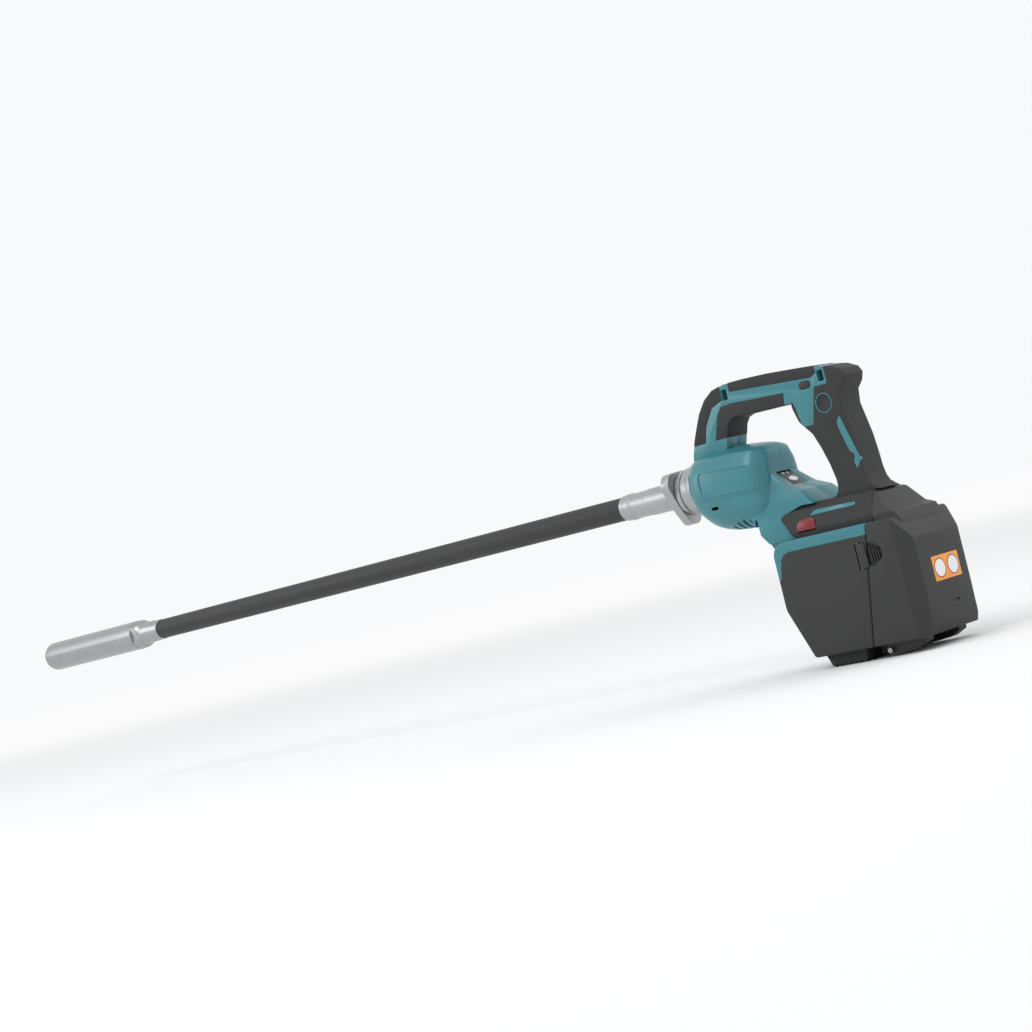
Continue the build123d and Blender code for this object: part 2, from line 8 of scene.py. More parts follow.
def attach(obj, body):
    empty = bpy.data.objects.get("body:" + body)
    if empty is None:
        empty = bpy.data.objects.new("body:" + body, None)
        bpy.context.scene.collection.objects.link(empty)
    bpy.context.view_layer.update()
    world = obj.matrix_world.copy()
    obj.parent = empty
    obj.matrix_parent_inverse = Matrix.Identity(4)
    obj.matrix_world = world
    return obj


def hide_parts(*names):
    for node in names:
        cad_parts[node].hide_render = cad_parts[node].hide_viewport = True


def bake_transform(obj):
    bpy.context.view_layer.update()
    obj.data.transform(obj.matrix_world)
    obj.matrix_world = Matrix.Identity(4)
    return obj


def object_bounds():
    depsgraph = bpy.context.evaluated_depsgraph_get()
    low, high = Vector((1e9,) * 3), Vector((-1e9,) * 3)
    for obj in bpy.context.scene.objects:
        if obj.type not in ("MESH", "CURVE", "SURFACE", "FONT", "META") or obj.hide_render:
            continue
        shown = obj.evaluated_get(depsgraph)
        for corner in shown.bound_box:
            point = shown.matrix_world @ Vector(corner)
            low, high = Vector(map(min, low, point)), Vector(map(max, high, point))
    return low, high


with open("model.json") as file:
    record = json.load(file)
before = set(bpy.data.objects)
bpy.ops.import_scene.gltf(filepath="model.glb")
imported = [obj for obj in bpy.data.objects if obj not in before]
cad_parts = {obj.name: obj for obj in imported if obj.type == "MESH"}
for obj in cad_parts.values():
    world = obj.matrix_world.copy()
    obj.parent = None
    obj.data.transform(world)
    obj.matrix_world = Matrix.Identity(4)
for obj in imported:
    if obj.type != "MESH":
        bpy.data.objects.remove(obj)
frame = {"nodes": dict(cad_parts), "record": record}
cadLow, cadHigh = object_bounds()
mm = 0.001
shaftHeight = 202.5  # of the shaft axis over the floor, in mm


# modelling helpers: all sizes come in as mm
def dropSelection():
    if bpy.context.object and bpy.context.object.mode != "OBJECT":
        bpy.ops.object.mode_set(mode="OBJECT")
    bpy.ops.object.select_all(action="DESELECT")


def takeUp(piece):
    dropSelection()
    piece.select_set(True)
    bpy.context.view_layer.objects.active = piece


def applyModifiers(piece):
    takeUp(piece)
    for modifier in list(piece.modifiers):
        bpy.ops.object.modifier_apply(modifier=modifier.name)


def markEdges(piece, test):
    # selects the edges whose two ends pass the test, and leaves edit mode ready for them
    takeUp(piece)
    mesh = piece.data
    for item in list(mesh.vertices) + list(mesh.edges) + list(mesh.polygons):
        item.select = False
    for edge in mesh.edges:
        first, second = (mesh.vertices[v].co / mm for v in edge.vertices)
        edge.select = bool(test(first, second))
    bpy.context.tool_settings.mesh_select_mode = (False, True, False)
    bpy.ops.object.mode_set(mode="EDIT")


def tidyMesh(piece):
    takeUp(piece)
    bpy.ops.object.mode_set(mode="EDIT")
    bpy.ops.mesh.select_all(action="SELECT")
    bpy.ops.mesh.remove_doubles(threshold=0.00001)
    bpy.ops.mesh.normals_make_consistent(inside=False)
    bpy.ops.object.mode_set(mode="OBJECT")


def bevelMarked(width, steps):
    bpy.ops.mesh.bevel(offset=width * mm, segments=steps, profile=0.5, affect="EDGES", clamp_overlap=True)
    bpy.ops.object.mode_set(mode="OBJECT")


def outlineBody(name, outline, reach, middle=0.0, along="Y", corner=0.0, rim=0.0, cornerSteps=3, rimSteps=4):
    # a closed outline swept through the thickness 2 x reach
    # corner rounds its upright edges and rim its two faces
    dropSelection()
    bpy.ops.mesh.primitive_circle_add(vertices=len(outline), radius=1.0, fill_type="NOTHING")
    piece = bpy.context.object
    piece.name = name
    start = middle - reach
    axis = "XYZ".index(along)
    for vertex, (a, b) in zip(piece.data.vertices, outline):
        place = [a, b]
        place.insert(axis, start)
        vertex.co = Vector(place) * mm
    bpy.ops.object.mode_set(mode="EDIT")
    bpy.ops.mesh.select_all(action="SELECT")
    bpy.ops.mesh.edge_face_add()
    move = [0.0, 0.0, 0.0]
    move[axis] = 2 * reach * mm
    bpy.ops.mesh.extrude_region_move(TRANSFORM_OT_translate={"value": move})
    bpy.ops.mesh.select_all(action="SELECT")
    bpy.ops.mesh.normals_make_consistent(inside=False)
    bpy.ops.object.mode_set(mode="OBJECT")
    if corner:
        markEdges(piece, lambda p, q: abs(p[axis] - q[axis]) > reach)
        bevelMarked(corner, cornerSteps)
    if rim:
        ends = (start, start + 2 * reach)
        markEdges(piece, lambda p, q: any(abs(p[axis] - e) < 0.01 and abs(q[axis] - e) < 0.01 for e in ends))
        bevelMarked(rim, rimSteps)
        tidyMesh(piece)
    return piece


def boxBody(name, xs, ys, zs, corner=0.0, steps=2):
    outline = [(xs[0], zs[0]), (xs[1], zs[0]), (xs[1], zs[1]), (xs[0], zs[1])]
    piece = outlineBody(name, outline, (ys[1] - ys[0]) / 2, (ys[0] + ys[1]) / 2)
    if corner:
        markEdges(piece, lambda p, q: True)
        bevelMarked(corner, steps)
    return piece


def turnedBody(name, profile, steps=64):
    # (x, radius) points of a closed section, spun about the shaft axis
    dropSelection()
    bpy.ops.mesh.primitive_circle_add(vertices=len(profile), radius=1.0, fill_type="NOTHING")
    piece = bpy.context.object
    piece.name = name
    for vertex, (x, radius) in zip(piece.data.vertices, profile):
        vertex.co = Vector((x, 0, shaftHeight + radius)) * mm
    bpy.ops.object.mode_set(mode="EDIT")
    bpy.ops.mesh.select_all(action="SELECT")
    bpy.ops.mesh.spin(steps=steps, angle=2 * pi, center=(0, 0, shaftHeight * mm), axis=(1, 0, 0))
    bpy.ops.object.mode_set(mode="OBJECT")
    tidyMesh(piece)
    return piece


def pinBody(name, x, z, radius, ys, vertices=32):
    dropSelection()
    bpy.ops.mesh.primitive_cylinder_add(
        vertices=vertices, radius=radius * mm, depth=(ys[1] - ys[0]) * mm,
        location=(x * mm, (ys[0] + ys[1]) / 2 * mm, z * mm), rotation=(pi / 2, 0, 0))
    piece = bpy.context.object
    piece.name = name
    bpy.ops.object.transform_apply(location=True, rotation=True, scale=True)
    return piece


def copyOf(piece, name):
    twin = piece.copy()
    twin.data = piece.data.copy()
    twin.name = name
    bpy.context.scene.collection.objects.link(twin)
    return twin


def carve(piece, cutter, how="DIFFERENCE", keep=False):
    modifier = piece.modifiers.new("Cut", "BOOLEAN")
    modifier.operation = how
    modifier.solver = "EXACT"
    modifier.object = cutter
    applyModifiers(piece)
    if not keep:
        bpy.data.objects.remove(cutter)
    return piece


def softenEdges(piece, width, steps=2, angle=30):
    modifier = piece.modifiers.new("Edges", "BEVEL")
    modifier.width = width * mm
    modifier.segments = steps
    modifier.limit_method = "ANGLE"
    modifier.angle_limit = radians(angle)
    applyModifiers(piece)
    return piece


def finishPiece(piece, body, material, stands=(), smooth=32):
    takeUp(piece)
    bpy.ops.object.shade_smooth_by_angle(angle=radians(smooth))
    piece.data.materials.clear()
    piece.data.materials.append(material)
    if body:
        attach(piece, body)
    if stands:
        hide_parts(*stands)
    return piece


# shader helper
class Flow:
    # one output of a shader node; sums and products of flows add their Math nodes
    def __init__(self, tree, socket=None):
        self.tree = tree
        self.socket = socket

    def node(self, kind, settings=None, inputs=None, output=0):
        made = self.tree.nodes.new(kind)
        for key, value in (settings or {}).items():
            if key == "stops":
                elements = made.color_ramp.elements
                for element, (position, shade) in zip(elements, value):
                    element.position = position
                    element.color = (shade, shade, shade, 1)
            else:
                setattr(made, key, value)
        for key, value in (inputs or {}).items():
            if isinstance(value, Flow):
                self.tree.links.new(value.socket, made.inputs[key])
            else:
                made.inputs[key].default_value = value
        return None if output is None else Flow(self.tree, made.outputs[output])

    def math(self, operation, first, second):
        return self.node("ShaderNodeMath", {"operation": operation}, {0: first, 1: second})

    def __add__(self, other):
        return self.math("ADD", self, other)

    def __radd__(self, other):
        return self.math("ADD", other, self)

    def __sub__(self, other):
        return self.math("SUBTRACT", self, other)

    def __rsub__(self, other):
        return self.math("SUBTRACT", other, self)

    def __mul__(self, other):
        return self.math("MULTIPLY", self, other)

    def __rmul__(self, other):
        return self.math("MULTIPLY", other, self)

    def noise(self, scale, detail=2.0, stretch=(1, 1, 1)):
        spread = self.node("ShaderNodeMapping", None, {"Vector": self, "Scale": stretch})
        return spread.node("ShaderNodeTexNoise", None, {"Vector": spread, "Scale": scale, "Detail": detail})

    def ramp(self, low, high):
        # 0 below low, 1 above high
        return self.node("ShaderNodeValToRGB", {"stops": ((low, 0.0), (high, 1.0))}, {0: self})

    def blend(self, first, second):
        # a colour between two, by this flow
        return self.node("ShaderNodeMix", {"data_type": "RGBA"}, {0: self, 6: first, 7: second}, 2)


def colour(red, green, blue):
    return (red, green, blue, 1.0)


def newFinish(name):
    material = bpy.data.materials.new(name)
    material.use_nodes = True
    material.node_tree.nodes.clear()
    return material, Flow(material.node_tree).node("ShaderNodeTexCoord", output="Object")


def edgeMask(place, reach):
    # 1 on sharp edges, 0 on flat faces, over a band of the given width in mm
    flat = place.node("ShaderNodeNewGeometry", output="Normal")
    rounded = place.node("ShaderNodeBevel", {"samples": 4}, {"Radius": reach * mm})
    facing = place.node("ShaderNodeVectorMath", {"operation": "DOT_PRODUCT"}, {0: flat, 1: rounded}, "Value")
    return place.math("MULTIPLY", 1 - facing, 6.0).ramp(0.05, 0.9)


def closeFinish(place, base, roughness, relief=None, depth=0.02, strength=0.5, **plain):
    inputs = {"Base Color": base, "Roughness": roughness}
    inputs.update({key.replace("_", " "): value for key, value in plain.items()})
    if relief:
        inputs["Normal"] = place.node(
            "ShaderNodeBump", None, {"Height": relief, "Distance": depth * mm, "Strength": strength})
    shader = place.node("ShaderNodeBsdfPrincipled", None, inputs)
    place.node("ShaderNodeOutputMaterial", None, {"Surface": shader}, None)


def mouldedPlastic(name, light, dark, wearAndHighlight, gloss, grain, grainDepth):
    material, place = newFinish(name)
    cloud = place.noise(22, 3)
    grainy = place.noise(grain, 2)
    scuffs = place.noise(60, 5, (1, 1, 0.3)).ramp(0.62, 0.74)
    edge = edgeMask(place, 0.6)
    # lighter colour on scuffs (wear) and on all sharp edges (part wear, part painted highlight)
    base = (edge * 0.55 + scuffs * 0.12).blend(cloud.blend(dark, light), wearAndHighlight)
    rough = gloss + grainy * 0.14 + scuffs * 0.12
    closeFinish(place, base, rough, grainy, grainDepth, 0.6)
    return material


def metalFinish(name, light, dark, gloss, lines, lineDepth, metallic=1.0):
    # lines: how dense the machining marks are across the shaft
    material, place = newFinish(name)
    turned = place.noise(lines, 2, (1, 0.02, 0.02))
    patches = place.noise(35, 4)
    scratch = place.noise(240, 3, (0.06, 1, 1)).ramp(0.60, 0.72)
    edge = edgeMask(place, 0.5)
    # sharp edges lightened to near white: part worn metal, part painted highlight
    base = (edge * 0.5).blend(patches.blend(dark, light), colour(0.86, 0.86, 0.87))
    rough = gloss + patches * 0.10 + scratch * 0.10 + turned * 0.08
    closeFinish(place, base, rough, turned + scratch * 0.3, lineDepth, 0.35, Metallic=metallic)
    return material


# finishes
print("finishes")
teal = mouldedPlastic("tealPlastic", colour(0.038, 0.200, 0.232), colour(0.031, 0.170, 0.200),
                      colour(0.10, 0.36, 0.40), 0.24, 1500, 0.012)
darkPlastic = mouldedPlastic("darkPlastic", colour(0.021, 0.021, 0.022), colour(0.016, 0.016, 0.017),
                             colour(0.062, 0.063, 0.065), 0.46, 1100, 0.030)
gripRubber = mouldedPlastic("gripElastomer", colour(0.018, 0.018, 0.019), colour(0.013, 0.013, 0.014),
                            colour(0.06, 0.06, 0.062), 0.58, 1900, 0.050)
footRubber = mouldedPlastic("footRubber", colour(0.020, 0.020, 0.020), colour(0.013, 0.013, 0.013),
                            colour(0.05, 0.05, 0.05), 0.66, 900, 0.060)
panelBlack = mouldedPlastic("panelBlack", colour(0.010, 0.010, 0.011), colour(0.008, 0.008, 0.009),
                            colour(0.05, 0.05, 0.05), 0.18, 2500, 0.006)
whiteKey = mouldedPlastic("whiteKey", colour(0.80, 0.80, 0.78), colour(0.74, 0.74, 0.72),
                          colour(0.85, 0.85, 0.84), 0.34, 1800, 0.010)
badgeRed = mouldedPlastic("badgeRed", colour(0.20, 0.012, 0.018), colour(0.16, 0.010, 0.014),
                          colour(0.32, 0.04, 0.05), 0.22, 2200, 0.006)
badgeWhite = mouldedPlastic("badgeWhite", colour(0.78, 0.78, 0.78), colour(0.72, 0.72, 0.72),
                            colour(0.82, 0.82, 0.82), 0.30, 2200, 0.006)
castAluminium = metalFinish("castAluminium", colour(0.46, 0.465, 0.47), colour(0.35, 0.355, 0.36), 0.30,
                            300, 0.020)
platedSteel = metalFinish("platedSteel", colour(0.42, 0.425, 0.43), colour(0.33, 0.335, 0.34), 0.26, 900,
                          0.012)
brightSteel = metalFinish("brightSteel", colour(0.40, 0.40, 0.41), colour(0.30, 0.30, 0.31), 0.16, 1400,
                          0.008)
coreSteel = metalFinish("coreSteel", colour(0.30, 0.30, 0.31), colour(0.20, 0.20, 0.21), 0.34, 2200, 0.050)
copperWire = metalFinish("copperWire", colour(0.72, 0.33, 0.16), colour(0.56, 0.22, 0.09), 0.30, 1300, 0.080)


def hoseFinish():
    material, place = newFinish("hoseRubber")
    weave = place.node("ShaderNodeTexWave", {"wave_type": "BANDS", "bands_direction": "X"},
                       {"Vector": place, "Scale": 95.0, "Distortion": 1.2, "Detail": 2.0}, "Fac")
    dust = place.noise(26, 5).ramp(0.45, 0.8)
    pits = place.noise(1300, 2)
    base = (dust * 0.55).blend(colour(0.017, 0.017, 0.018), colour(0.036, 0.036, 0.036))
    closeFinish(place, base, 0.50 + dust * 0.14 + pits * 0.10, pits + weave * 0.25, 0.06, 0.6)
    return material


def boardFinish():
    material, place = newFinish("circuitBoard")
    cells = place.node("ShaderNodeTexVoronoi", {"feature": "F1"}, {"Vector": place, "Scale": 260.0},
                       "Distance")
    tracks = cells.ramp(0.30, 0.36)
    base = tracks.blend(colour(0.010, 0.075, 0.035), colour(0.018, 0.12, 0.055))
    closeFinish(place, base, 0.34 + tracks * 0.2, tracks, 0.04, 0.5)
    return material


hoseRubber = hoseFinish()
circuitBoard = boardFinish()


# camera, floor and light
def setStage():
    stage = {"cameraPlace": (1.9417, -1.8501, 0.1651), "lens": 79.48,
             "right": (0.7029, 0.6704, -0.2376), "up": (0.1887, 0.1462, 0.9711),
             "floorRadius": 14.0, "fadeStart": 1.6, "fadeEnd": 5.0}
    cameraData = bpy.data.cameras.new("camera")
    cameraData.lens = stage["lens"]
    cameraData.sensor_width = 36.0
    camera = bpy.data.objects.new("camera", cameraData)
    bpy.context.scene.collection.objects.link(camera)
    right = Vector(stage["right"]).normalized()
    up = Vector(stage["up"])
    up = (up - up.dot(right) * right).normalized()
    turn = Matrix((right, up, right.cross(up))).transposed().to_4x4()
    camera.matrix_world = Matrix.Translation(stage["cameraPlace"]) @ turn
    bpy.context.scene.camera = camera
    bpy.context.scene.view_settings.view_transform = "Standard"

    dropSelection()
    bpy.ops.mesh.primitive_circle_add(vertices=96, radius=stage["floorRadius"], fill_type="NGON")
    floor = bpy.context.object
    floor.name = "floor"
    material, place = newFinish("floorPaint")
    distance = place.node("ShaderNodeVectorMath", {"operation": "LENGTH"}, {0: place}, "Value")
    fade = place.node("ShaderNodeMapRange", {"interpolation_type": "SMOOTHSTEP"},
                      {0: distance, 1: stage["fadeStart"], 2: stage["fadeEnd"]})
    speckle = place.noise(140, 3)
    paint = speckle.blend(colour(0.80, 0.80, 0.80), colour(0.83, 0.83, 0.83))
    matt = place.node("ShaderNodeBsdfDiffuse", None, {"Color": paint})
    glow = place.node("ShaderNodeEmission", None, {"Color": colour(0.96, 0.96, 0.96)})
    mixed = place.node("ShaderNodeMixShader", None, {0: fade, 1: matt, 2: glow})
    place.node("ShaderNodeOutputMaterial", None, {"Surface": mixed}, None)
    floor.data.materials.append(material)

    world = bpy.data.worlds.new("studio")
    bpy.context.scene.world = world
    world.use_nodes = True
    world.node_tree.nodes["Background"].inputs["Color"].default_value = colour(0.96, 0.97, 0.98)
    world.node_tree.nodes["Background"].inputs["Strength"].default_value = 0.98
    lights = {"key": ((0.2, -2.2, 2.6), 1.4, 26), "fill": ((2.4, 1.4, 1.8), 1.8, 12),
              "side": ((-2.0, -1.6, 1.2), 1.2, 10)}
    for name, (place, size, power) in lights.items():
        lamp = bpy.data.lights.new(name, "AREA")
        lamp.size = size
        lamp.energy = power
        holder = bpy.data.objects.new(name, lamp)
        holder.location = place
        holder.rotation_euler = (Vector((0.3, 0, 0.15)) - Vector(place)).to_track_quat("-Z", "Y").to_euler()
        bpy.context.scene.collection.objects.link(holder)


setStage()
print("stage set")


# vibrating head
def makeHead():
    head = {"tip": -728.0, "end": -521.0, "radius": 19.0, "bore": 15.0, "tipRound": 12.0, "floor": 12.0,
            "neckEnd": -471.0, "neckRadius": 14.2, "flat": 15.6, "socket": 26.0}
    tip = head["tip"]
    nose = []
    for step in range(11):
        turn = radians(9 * step)
        nose.append((tip + head["tipRound"] * (1 - cos(turn)),
                     head["radius"] - head["tipRound"] * (1 - sin(turn))))
    end = head["end"]
    profile = [(tip, 0.02)] + nose
    profile += [(x, head["radius"]) for x in range(-700, -530, 24)]
    profile += [(end - 0.6, head["radius"]), (end, head["radius"] - 0.6), (end, head["bore"]),
                (tip + head["floor"], head["bore"]), (tip + head["floor"], 0.02)]
    barrel = turnedBody("headBarrel", profile, 72)
    finishPiece(barrel, "vibrating_head", headSteel, ["head_barrel"])

    spigot = end - 24
    neckEnd = head["neckEnd"]
    slope = [(end + 8 + k, 18.4 - (18.4 - head["neckRadius"]) * (1 - cos(radians(22.5 * k))) / 2)
             for k in range(0, 9)]
    neckProfile = [(spigot, 8.5), (spigot, 15.0), (end, 15.0), (end + 0.05, 17.9), (end + 0.6, 18.4)] + slope
    neckProfile += [(neckEnd - 14, head["neckRadius"] - 0.4), (neckEnd - 12, head["neckRadius"] - 1.0),
                    (neckEnd - 0.5, head["neckRadius"] - 1.0), (neckEnd, head["neckRadius"] - 1.5),
                    (neckEnd, 12.5), (neckEnd - head["socket"], 12.5), (neckEnd - head["socket"], 8.5)]
    neck = turnedBody("headNeck", neckProfile, 72)
    for side in (-1, 1):
        low, high = sorted((side * head["flat"], side * 30))
        slab = boxBody("flatCutter", (end + 0.8, end + 15), (low, high), (170, 235))
        carve(neck, slab)
    finishPiece(softenEdges(neck, 0.25, 2, 25), "vibrating_head", platedSteel, ["head_neck"])


headSteel = metalFinish("headSteel", colour(0.40, 0.405, 0.41), colour(0.31, 0.315, 0.32), 0.24, 900, 0.010)
makeHead()
print("head made")


# hose: four straight lengths along the shaft, each in place of its hose nodes
def makeHose():
    hose = {"radius": 12.5, "bore": 8.6, "ends": (358.0, 150.75, -56.5, -263.75, -471.0), "ring": 5.2}
    stands = (("hose_root", "hose_segment_1"), ("hose_segment_2",), ("hose_segment_3",), ("hose_head_end",))
    tuck = 24.0
    for k in range(4):
        start, stop = hose["ends"][k], hose["ends"][k + 1]
        front = start + tuck if k == 0 else start
        back = stop - tuck if k == 3 else stop
        count = round((front - back) / hose["ring"])
        stations = [front + (back - front) * step / count for step in range(count + 1)]
        outer = [(x, hose["radius"]) for x in stations]
        inner = [(x, hose["bore"]) for x in reversed(stations)]
        length = turnedBody("hoseLength" + "ABCD"[k], outer + inner, 40)
        finishPiece(length, None, hoseRubber, stands[k])
        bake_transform(length)


makeHose()
print("hose made")


# ferrule, flange and collar
def makeFittings():
    fitting = {"start": 358.0, "boss": 430.0, "flange": 436.0, "collar": 446.0, "rear": 472.6,
               "cornerRadius": 34.0, "sideRadius": 24.0, "bolt": 3.2}
    start, boss, flangeX, front, rear = (fitting[key] for key in ("start", "boss", "flange", "collar",
                                                                  "rear"))
    profile = [(start, 12.5), (start, 12.9), (start + 0.5, 13.4), (start + 1.4, 13.5), (start + 6, 13.5),
               (start + 6.5, 14.0), (start + 7.2, 14.2), (start + 13.6, 14.2), (start + 14.4, 13.6),
               (start + 35, 13.6), (start + 36, 14.0), (start + 37.4, 14.3), (boss - 1.5, 14.3),
               (boss - 0.6, 14.6), (boss, 15.5), (boss, 19.0), (boss + 0.6, 19.5), (flangeX, 20.5),
               (flangeX, 8.5), (start + 26, 8.5), (start + 26, 12.5)]
    finishPiece(turnedBody("hoseFerrule", profile, 72), "machine", castAluminium,
                ["hose_ferrule"])

    outline = []
    for lobe in (30, 150, 270):
        for angle in (lobe - 11, lobe + 11):
            outline.append((fitting["cornerRadius"] * cos(radians(angle)),
                            fitting["cornerRadius"] * sin(radians(angle)) + shaftHeight))
        for spread in (-16, 16):
            angle = radians(lobe + 60 + spread)
            reach = fitting["sideRadius"] / cos(radians(spread))
            outline.append((reach * cos(angle), reach * sin(angle) + shaftHeight))
    thickness = (front - flangeX) / 2
    flange = outlineBody("hoseFlange", outline, thickness, flangeX + thickness, "X", 4.5, 0.0, 5)
    bore = turnedBody("boreCutter", [(flangeX - 2, 8.5), (front + 2, 8.5), (front + 2, 0.05), (flangeX - 2,
                                                                                               0.05)])
    carve(flange, bore)
    for lobe in (30, 150, 270):
        y = 27.5 * cos(radians(lobe))
        z = shaftHeight + 27.5 * sin(radians(lobe))
        dropSelection()
        bpy.ops.mesh.primitive_cylinder_add(vertices=24, radius=3.6 * mm, depth=6 * mm,
                                            location=((flangeX - 0.6) * mm, y * mm, z * mm),
                                            rotation=(0, pi / 2, 0))
        hole = bpy.context.object
        bpy.ops.object.transform_apply(location=True, rotation=True, scale=True)
        carve(flange, hole)
    softenEdges(flange, 0.8, 3, 28)
    finishPiece(flange, "machine", castAluminium, ["hose_flange"])

    bolts = None
    for lobe in (30, 150, 270):
        y = 27.5 * cos(radians(lobe))
        z = shaftHeight + 27.5 * sin(radians(lobe))
        dropSelection()
        bpy.ops.mesh.primitive_cylinder_add(vertices=32, radius=fitting["bolt"] * mm, depth=2.6 * mm,
                                            location=((flangeX + 1.6) * mm, y * mm, z * mm),
                                            rotation=(0, pi / 2, 0))
        bolt = bpy.context.object
        bpy.ops.object.transform_apply(location=True, rotation=True, scale=True)
        bpy.ops.mesh.primitive_cylinder_add(vertices=6, radius=1.7 * mm, depth=2.0 * mm,
                                            location=((flangeX + 0.4) * mm, y * mm, z * mm),
                                            rotation=(0, pi / 2, 0))
        key = bpy.context.object
        bpy.ops.object.transform_apply(location=True, rotation=True, scale=True)
        carve(bolt, key)
        softenEdges(bolt, 0.2, 2, 30)
        if bolts:
            takeUp(bolts)
            bolt.select_set(True)
            bpy.ops.object.join()
        else:
            bolts = bolt
    bolts.name = "flangeBolts"
    finishPiece(bolts, "machine", platedSteel)

    profile = [(front, 16.0), (front, 22.0), (front + 0.5, 22.6), (front + 1.6, 24.0), (front + 6, 24.0),
               (front + 6.4, 23.6), (front + 6.6, 22.4), (front + 9, 22.4), (front + 9.2, 24.2),
               (front + 9.8, 25.0), (front + 17.6, 25.0), (front + 18.6, 25.6), (front + 20, 27.8),
               (front + 21, 28.2), (rear - 0.8, 29.0), (rear, 28.6), (rear, 16.0), (rear + 13, 16.0),
               (rear + 13, 13.0), (rear + 2, 13.0), (rear + 2, 11.0), (front, 11.0)]
    finishPiece(turnedBody("frontCollar", profile, 80), "machine", castAluminium,
                ["front_collar"])


makeFittings()
print("fittings made")


# motor housing
def housingSections(inset):
    # half sections from the crown down the side to the keel, as (distance from the middle, height)
    sections = [
        (472.6, [(0, 234.5), (12, 232.2), (22.6, 225.1), (29.0, 216.0), (31.6, 207), (31.9, 200),
                 (30.8, 194), (25.5, 183.2), (17, 175.4), (9, 171.8), (0, 170.5)]),
        (476.5, [(0, 237.0), (13, 234.6), (25, 227.2), (33.0, 217.0), (36.0, 207), (36.2, 199), (35.0, 191),
                 (29.0, 178.5), (19, 169.6), (10, 166.2), (0, 165.0)]),
        (484.0, [(0, 238.0), (14, 236.0), (29, 229.0), (37.0, 217.5), (39.6, 207), (40.2, 194),
                 (38.0, 189.5), (32.0, 174.5), (22, 163.6), (12, 160.2), (0, 159.0)]),
        (496.0, [(0, 238.0), (15, 236.6), (31.5, 229.4), (38.6, 218), (41.0, 209), (42.4, 192.2),
                 (39.6, 188.0), (35.8, 174.5), (26, 158.6), (13, 154.6), (0, 154.0)]),
        (512.0, [(0, 237.4), (15, 236.2), (32.5, 229.4), (39.4, 217.2), (42.0, 208), (43.0, 191.8),
                 (40.2, 187.4), (37.2, 173.8), (28, 156.0), (14, 151.2), (0, 150.6)]),
        (536.0, [(0, 235.6), (15, 234.8), (32.0, 229.0), (39.6, 215.4), (42.0, 206), (43.0, 190.8),
                 (40.2, 186.6), (37.6, 172.6), (28, 155.6), (14, 150.6), (0, 150.0)]),
        (551.5, [(0, 233.4), (15, 232.6), (31.0, 228.4), (38.6, 214.2), (40.8, 205), (41.8, 190.2),
                 (39.2, 186.0), (37.0, 171.6), (27, 156.6), (13, 152.6), (0, 152.0)]),
        (558.0, [(0, 232.2), (14.6, 231.6), (29.6, 227.6), (37.4, 213.8), (39.6, 204.4), (40.4, 190.0),
                 (38.2, 185.6), (36.0, 171.4), (26, 157.8), (12.6, 154.0), (0, 153.4)]),
        (562.5, [(0, 231.0), (14.2, 230.2), (27.4, 226.0), (34.4, 213.4), (36.2, 203.6), (36.8, 189.8),
                 (35.2, 185.0), (33.2, 171.2), (24, 159.6), (11.6, 156.4), (0, 155.8)]),
        (566.5, [(0, 229.4), (13.6, 228.6), (23.6, 224.2), (28.8, 212.6), (30.2, 202.6), (30.4, 190.2),
                 (29.4, 184.6), (27.8, 172.4), (20.6, 163.0), (10, 160.2), (0, 159.8)]),
        (570.2, [(0, 224.0), (11.6, 223.2), (18.6, 219.6), (22.4, 211.0), (23.6, 202.0), (23.6, 192.6),
                 (22.8, 187.4), (21.0, 177.6), (15, 170.0), (7.6, 167.8), (0, 167.4)])]
    if not inset:
        return sections
    middle = 195.0
    inner = []
    for x, points in sections[1:-1]:
        inner.append((x, [(max(0.0, y - inset * y / 40), middle + (z - middle) * (1 - inset / 40))
                          for y, z in points]))
    return inner


def sectionBody(name, sections, creases, smoothness):
    # half sections laid on a grid, mirrored, capped and subdivided
    rows, columns = len(sections), len(sections[0][1])
    dropSelection()
    bpy.ops.mesh.primitive_grid_add(x_subdivisions=columns - 1, y_subdivisions=rows - 1, size=1.0)
    piece = bpy.context.object
    piece.name = name
    for row, (x, points) in enumerate(sections):
        for column, (y, z) in enumerate(points):
            piece.data.vertices[row * columns + column].co = Vector((x, -y, z)) * mm
    mirror = piece.modifiers.new("Mirror", "MIRROR")
    mirror.use_axis = (False, True, False)
    mirror.use_clip = True
    mirror.merge_threshold = 0.00005
    applyModifiers(piece)
    bpy.ops.object.mode_set(mode="EDIT")
    bpy.ops.mesh.select_all(action="SELECT")
    bpy.ops.mesh.fill_holes(sides=0)
    bpy.ops.object.mode_set(mode="OBJECT")
    tidyMesh(piece)
    for column, crease in creases.items():
        line = [Vector((x, points[column][0], points[column][1])) for x, points in sections]

        def onLine(point, line=line):
            return any((Vector((point.x, abs(point.y), point.z)) - spot).length < 0.02 for spot in line)

        markEdges(piece, lambda p, q: onLine(p) and onLine(q))
        bpy.ops.transform.edge_crease(value=crease)
        bpy.ops.object.mode_set(mode="OBJECT")
    for x in (sections[0][0], sections[-1][0]):
        markEdges(piece, lambda p, q, x=x: abs(p.x - x) < 0.01 and abs(q.x - x) < 0.01)
        bpy.ops.transform.edge_crease(value=0.9)
        bpy.ops.object.mode_set(mode="OBJECT")
    subdivide = piece.modifiers.new("Smooth", "SUBSURF")
    subdivide.levels = smoothness
    subdivide.render_levels = smoothness
    applyModifiers(piece)
    return piece


def splitHalves(piece, leftName, rightName, gap=0.12):
    # parts a moulding on its middle plane and leaves a fine joint line
    halves = []
    for name, side in ((leftName, -1), (rightName, 1)):
        half = copyOf(piece, name)
        low, high = sorted((side * gap, side * 90))
        keeper = boxBody("halfKeeper", (400, 760), (low, high), (-20, 340))
        carve(half, keeper, "INTERSECT")
        halves.append(half)
    bpy.data.objects.remove(piece)
    return halves


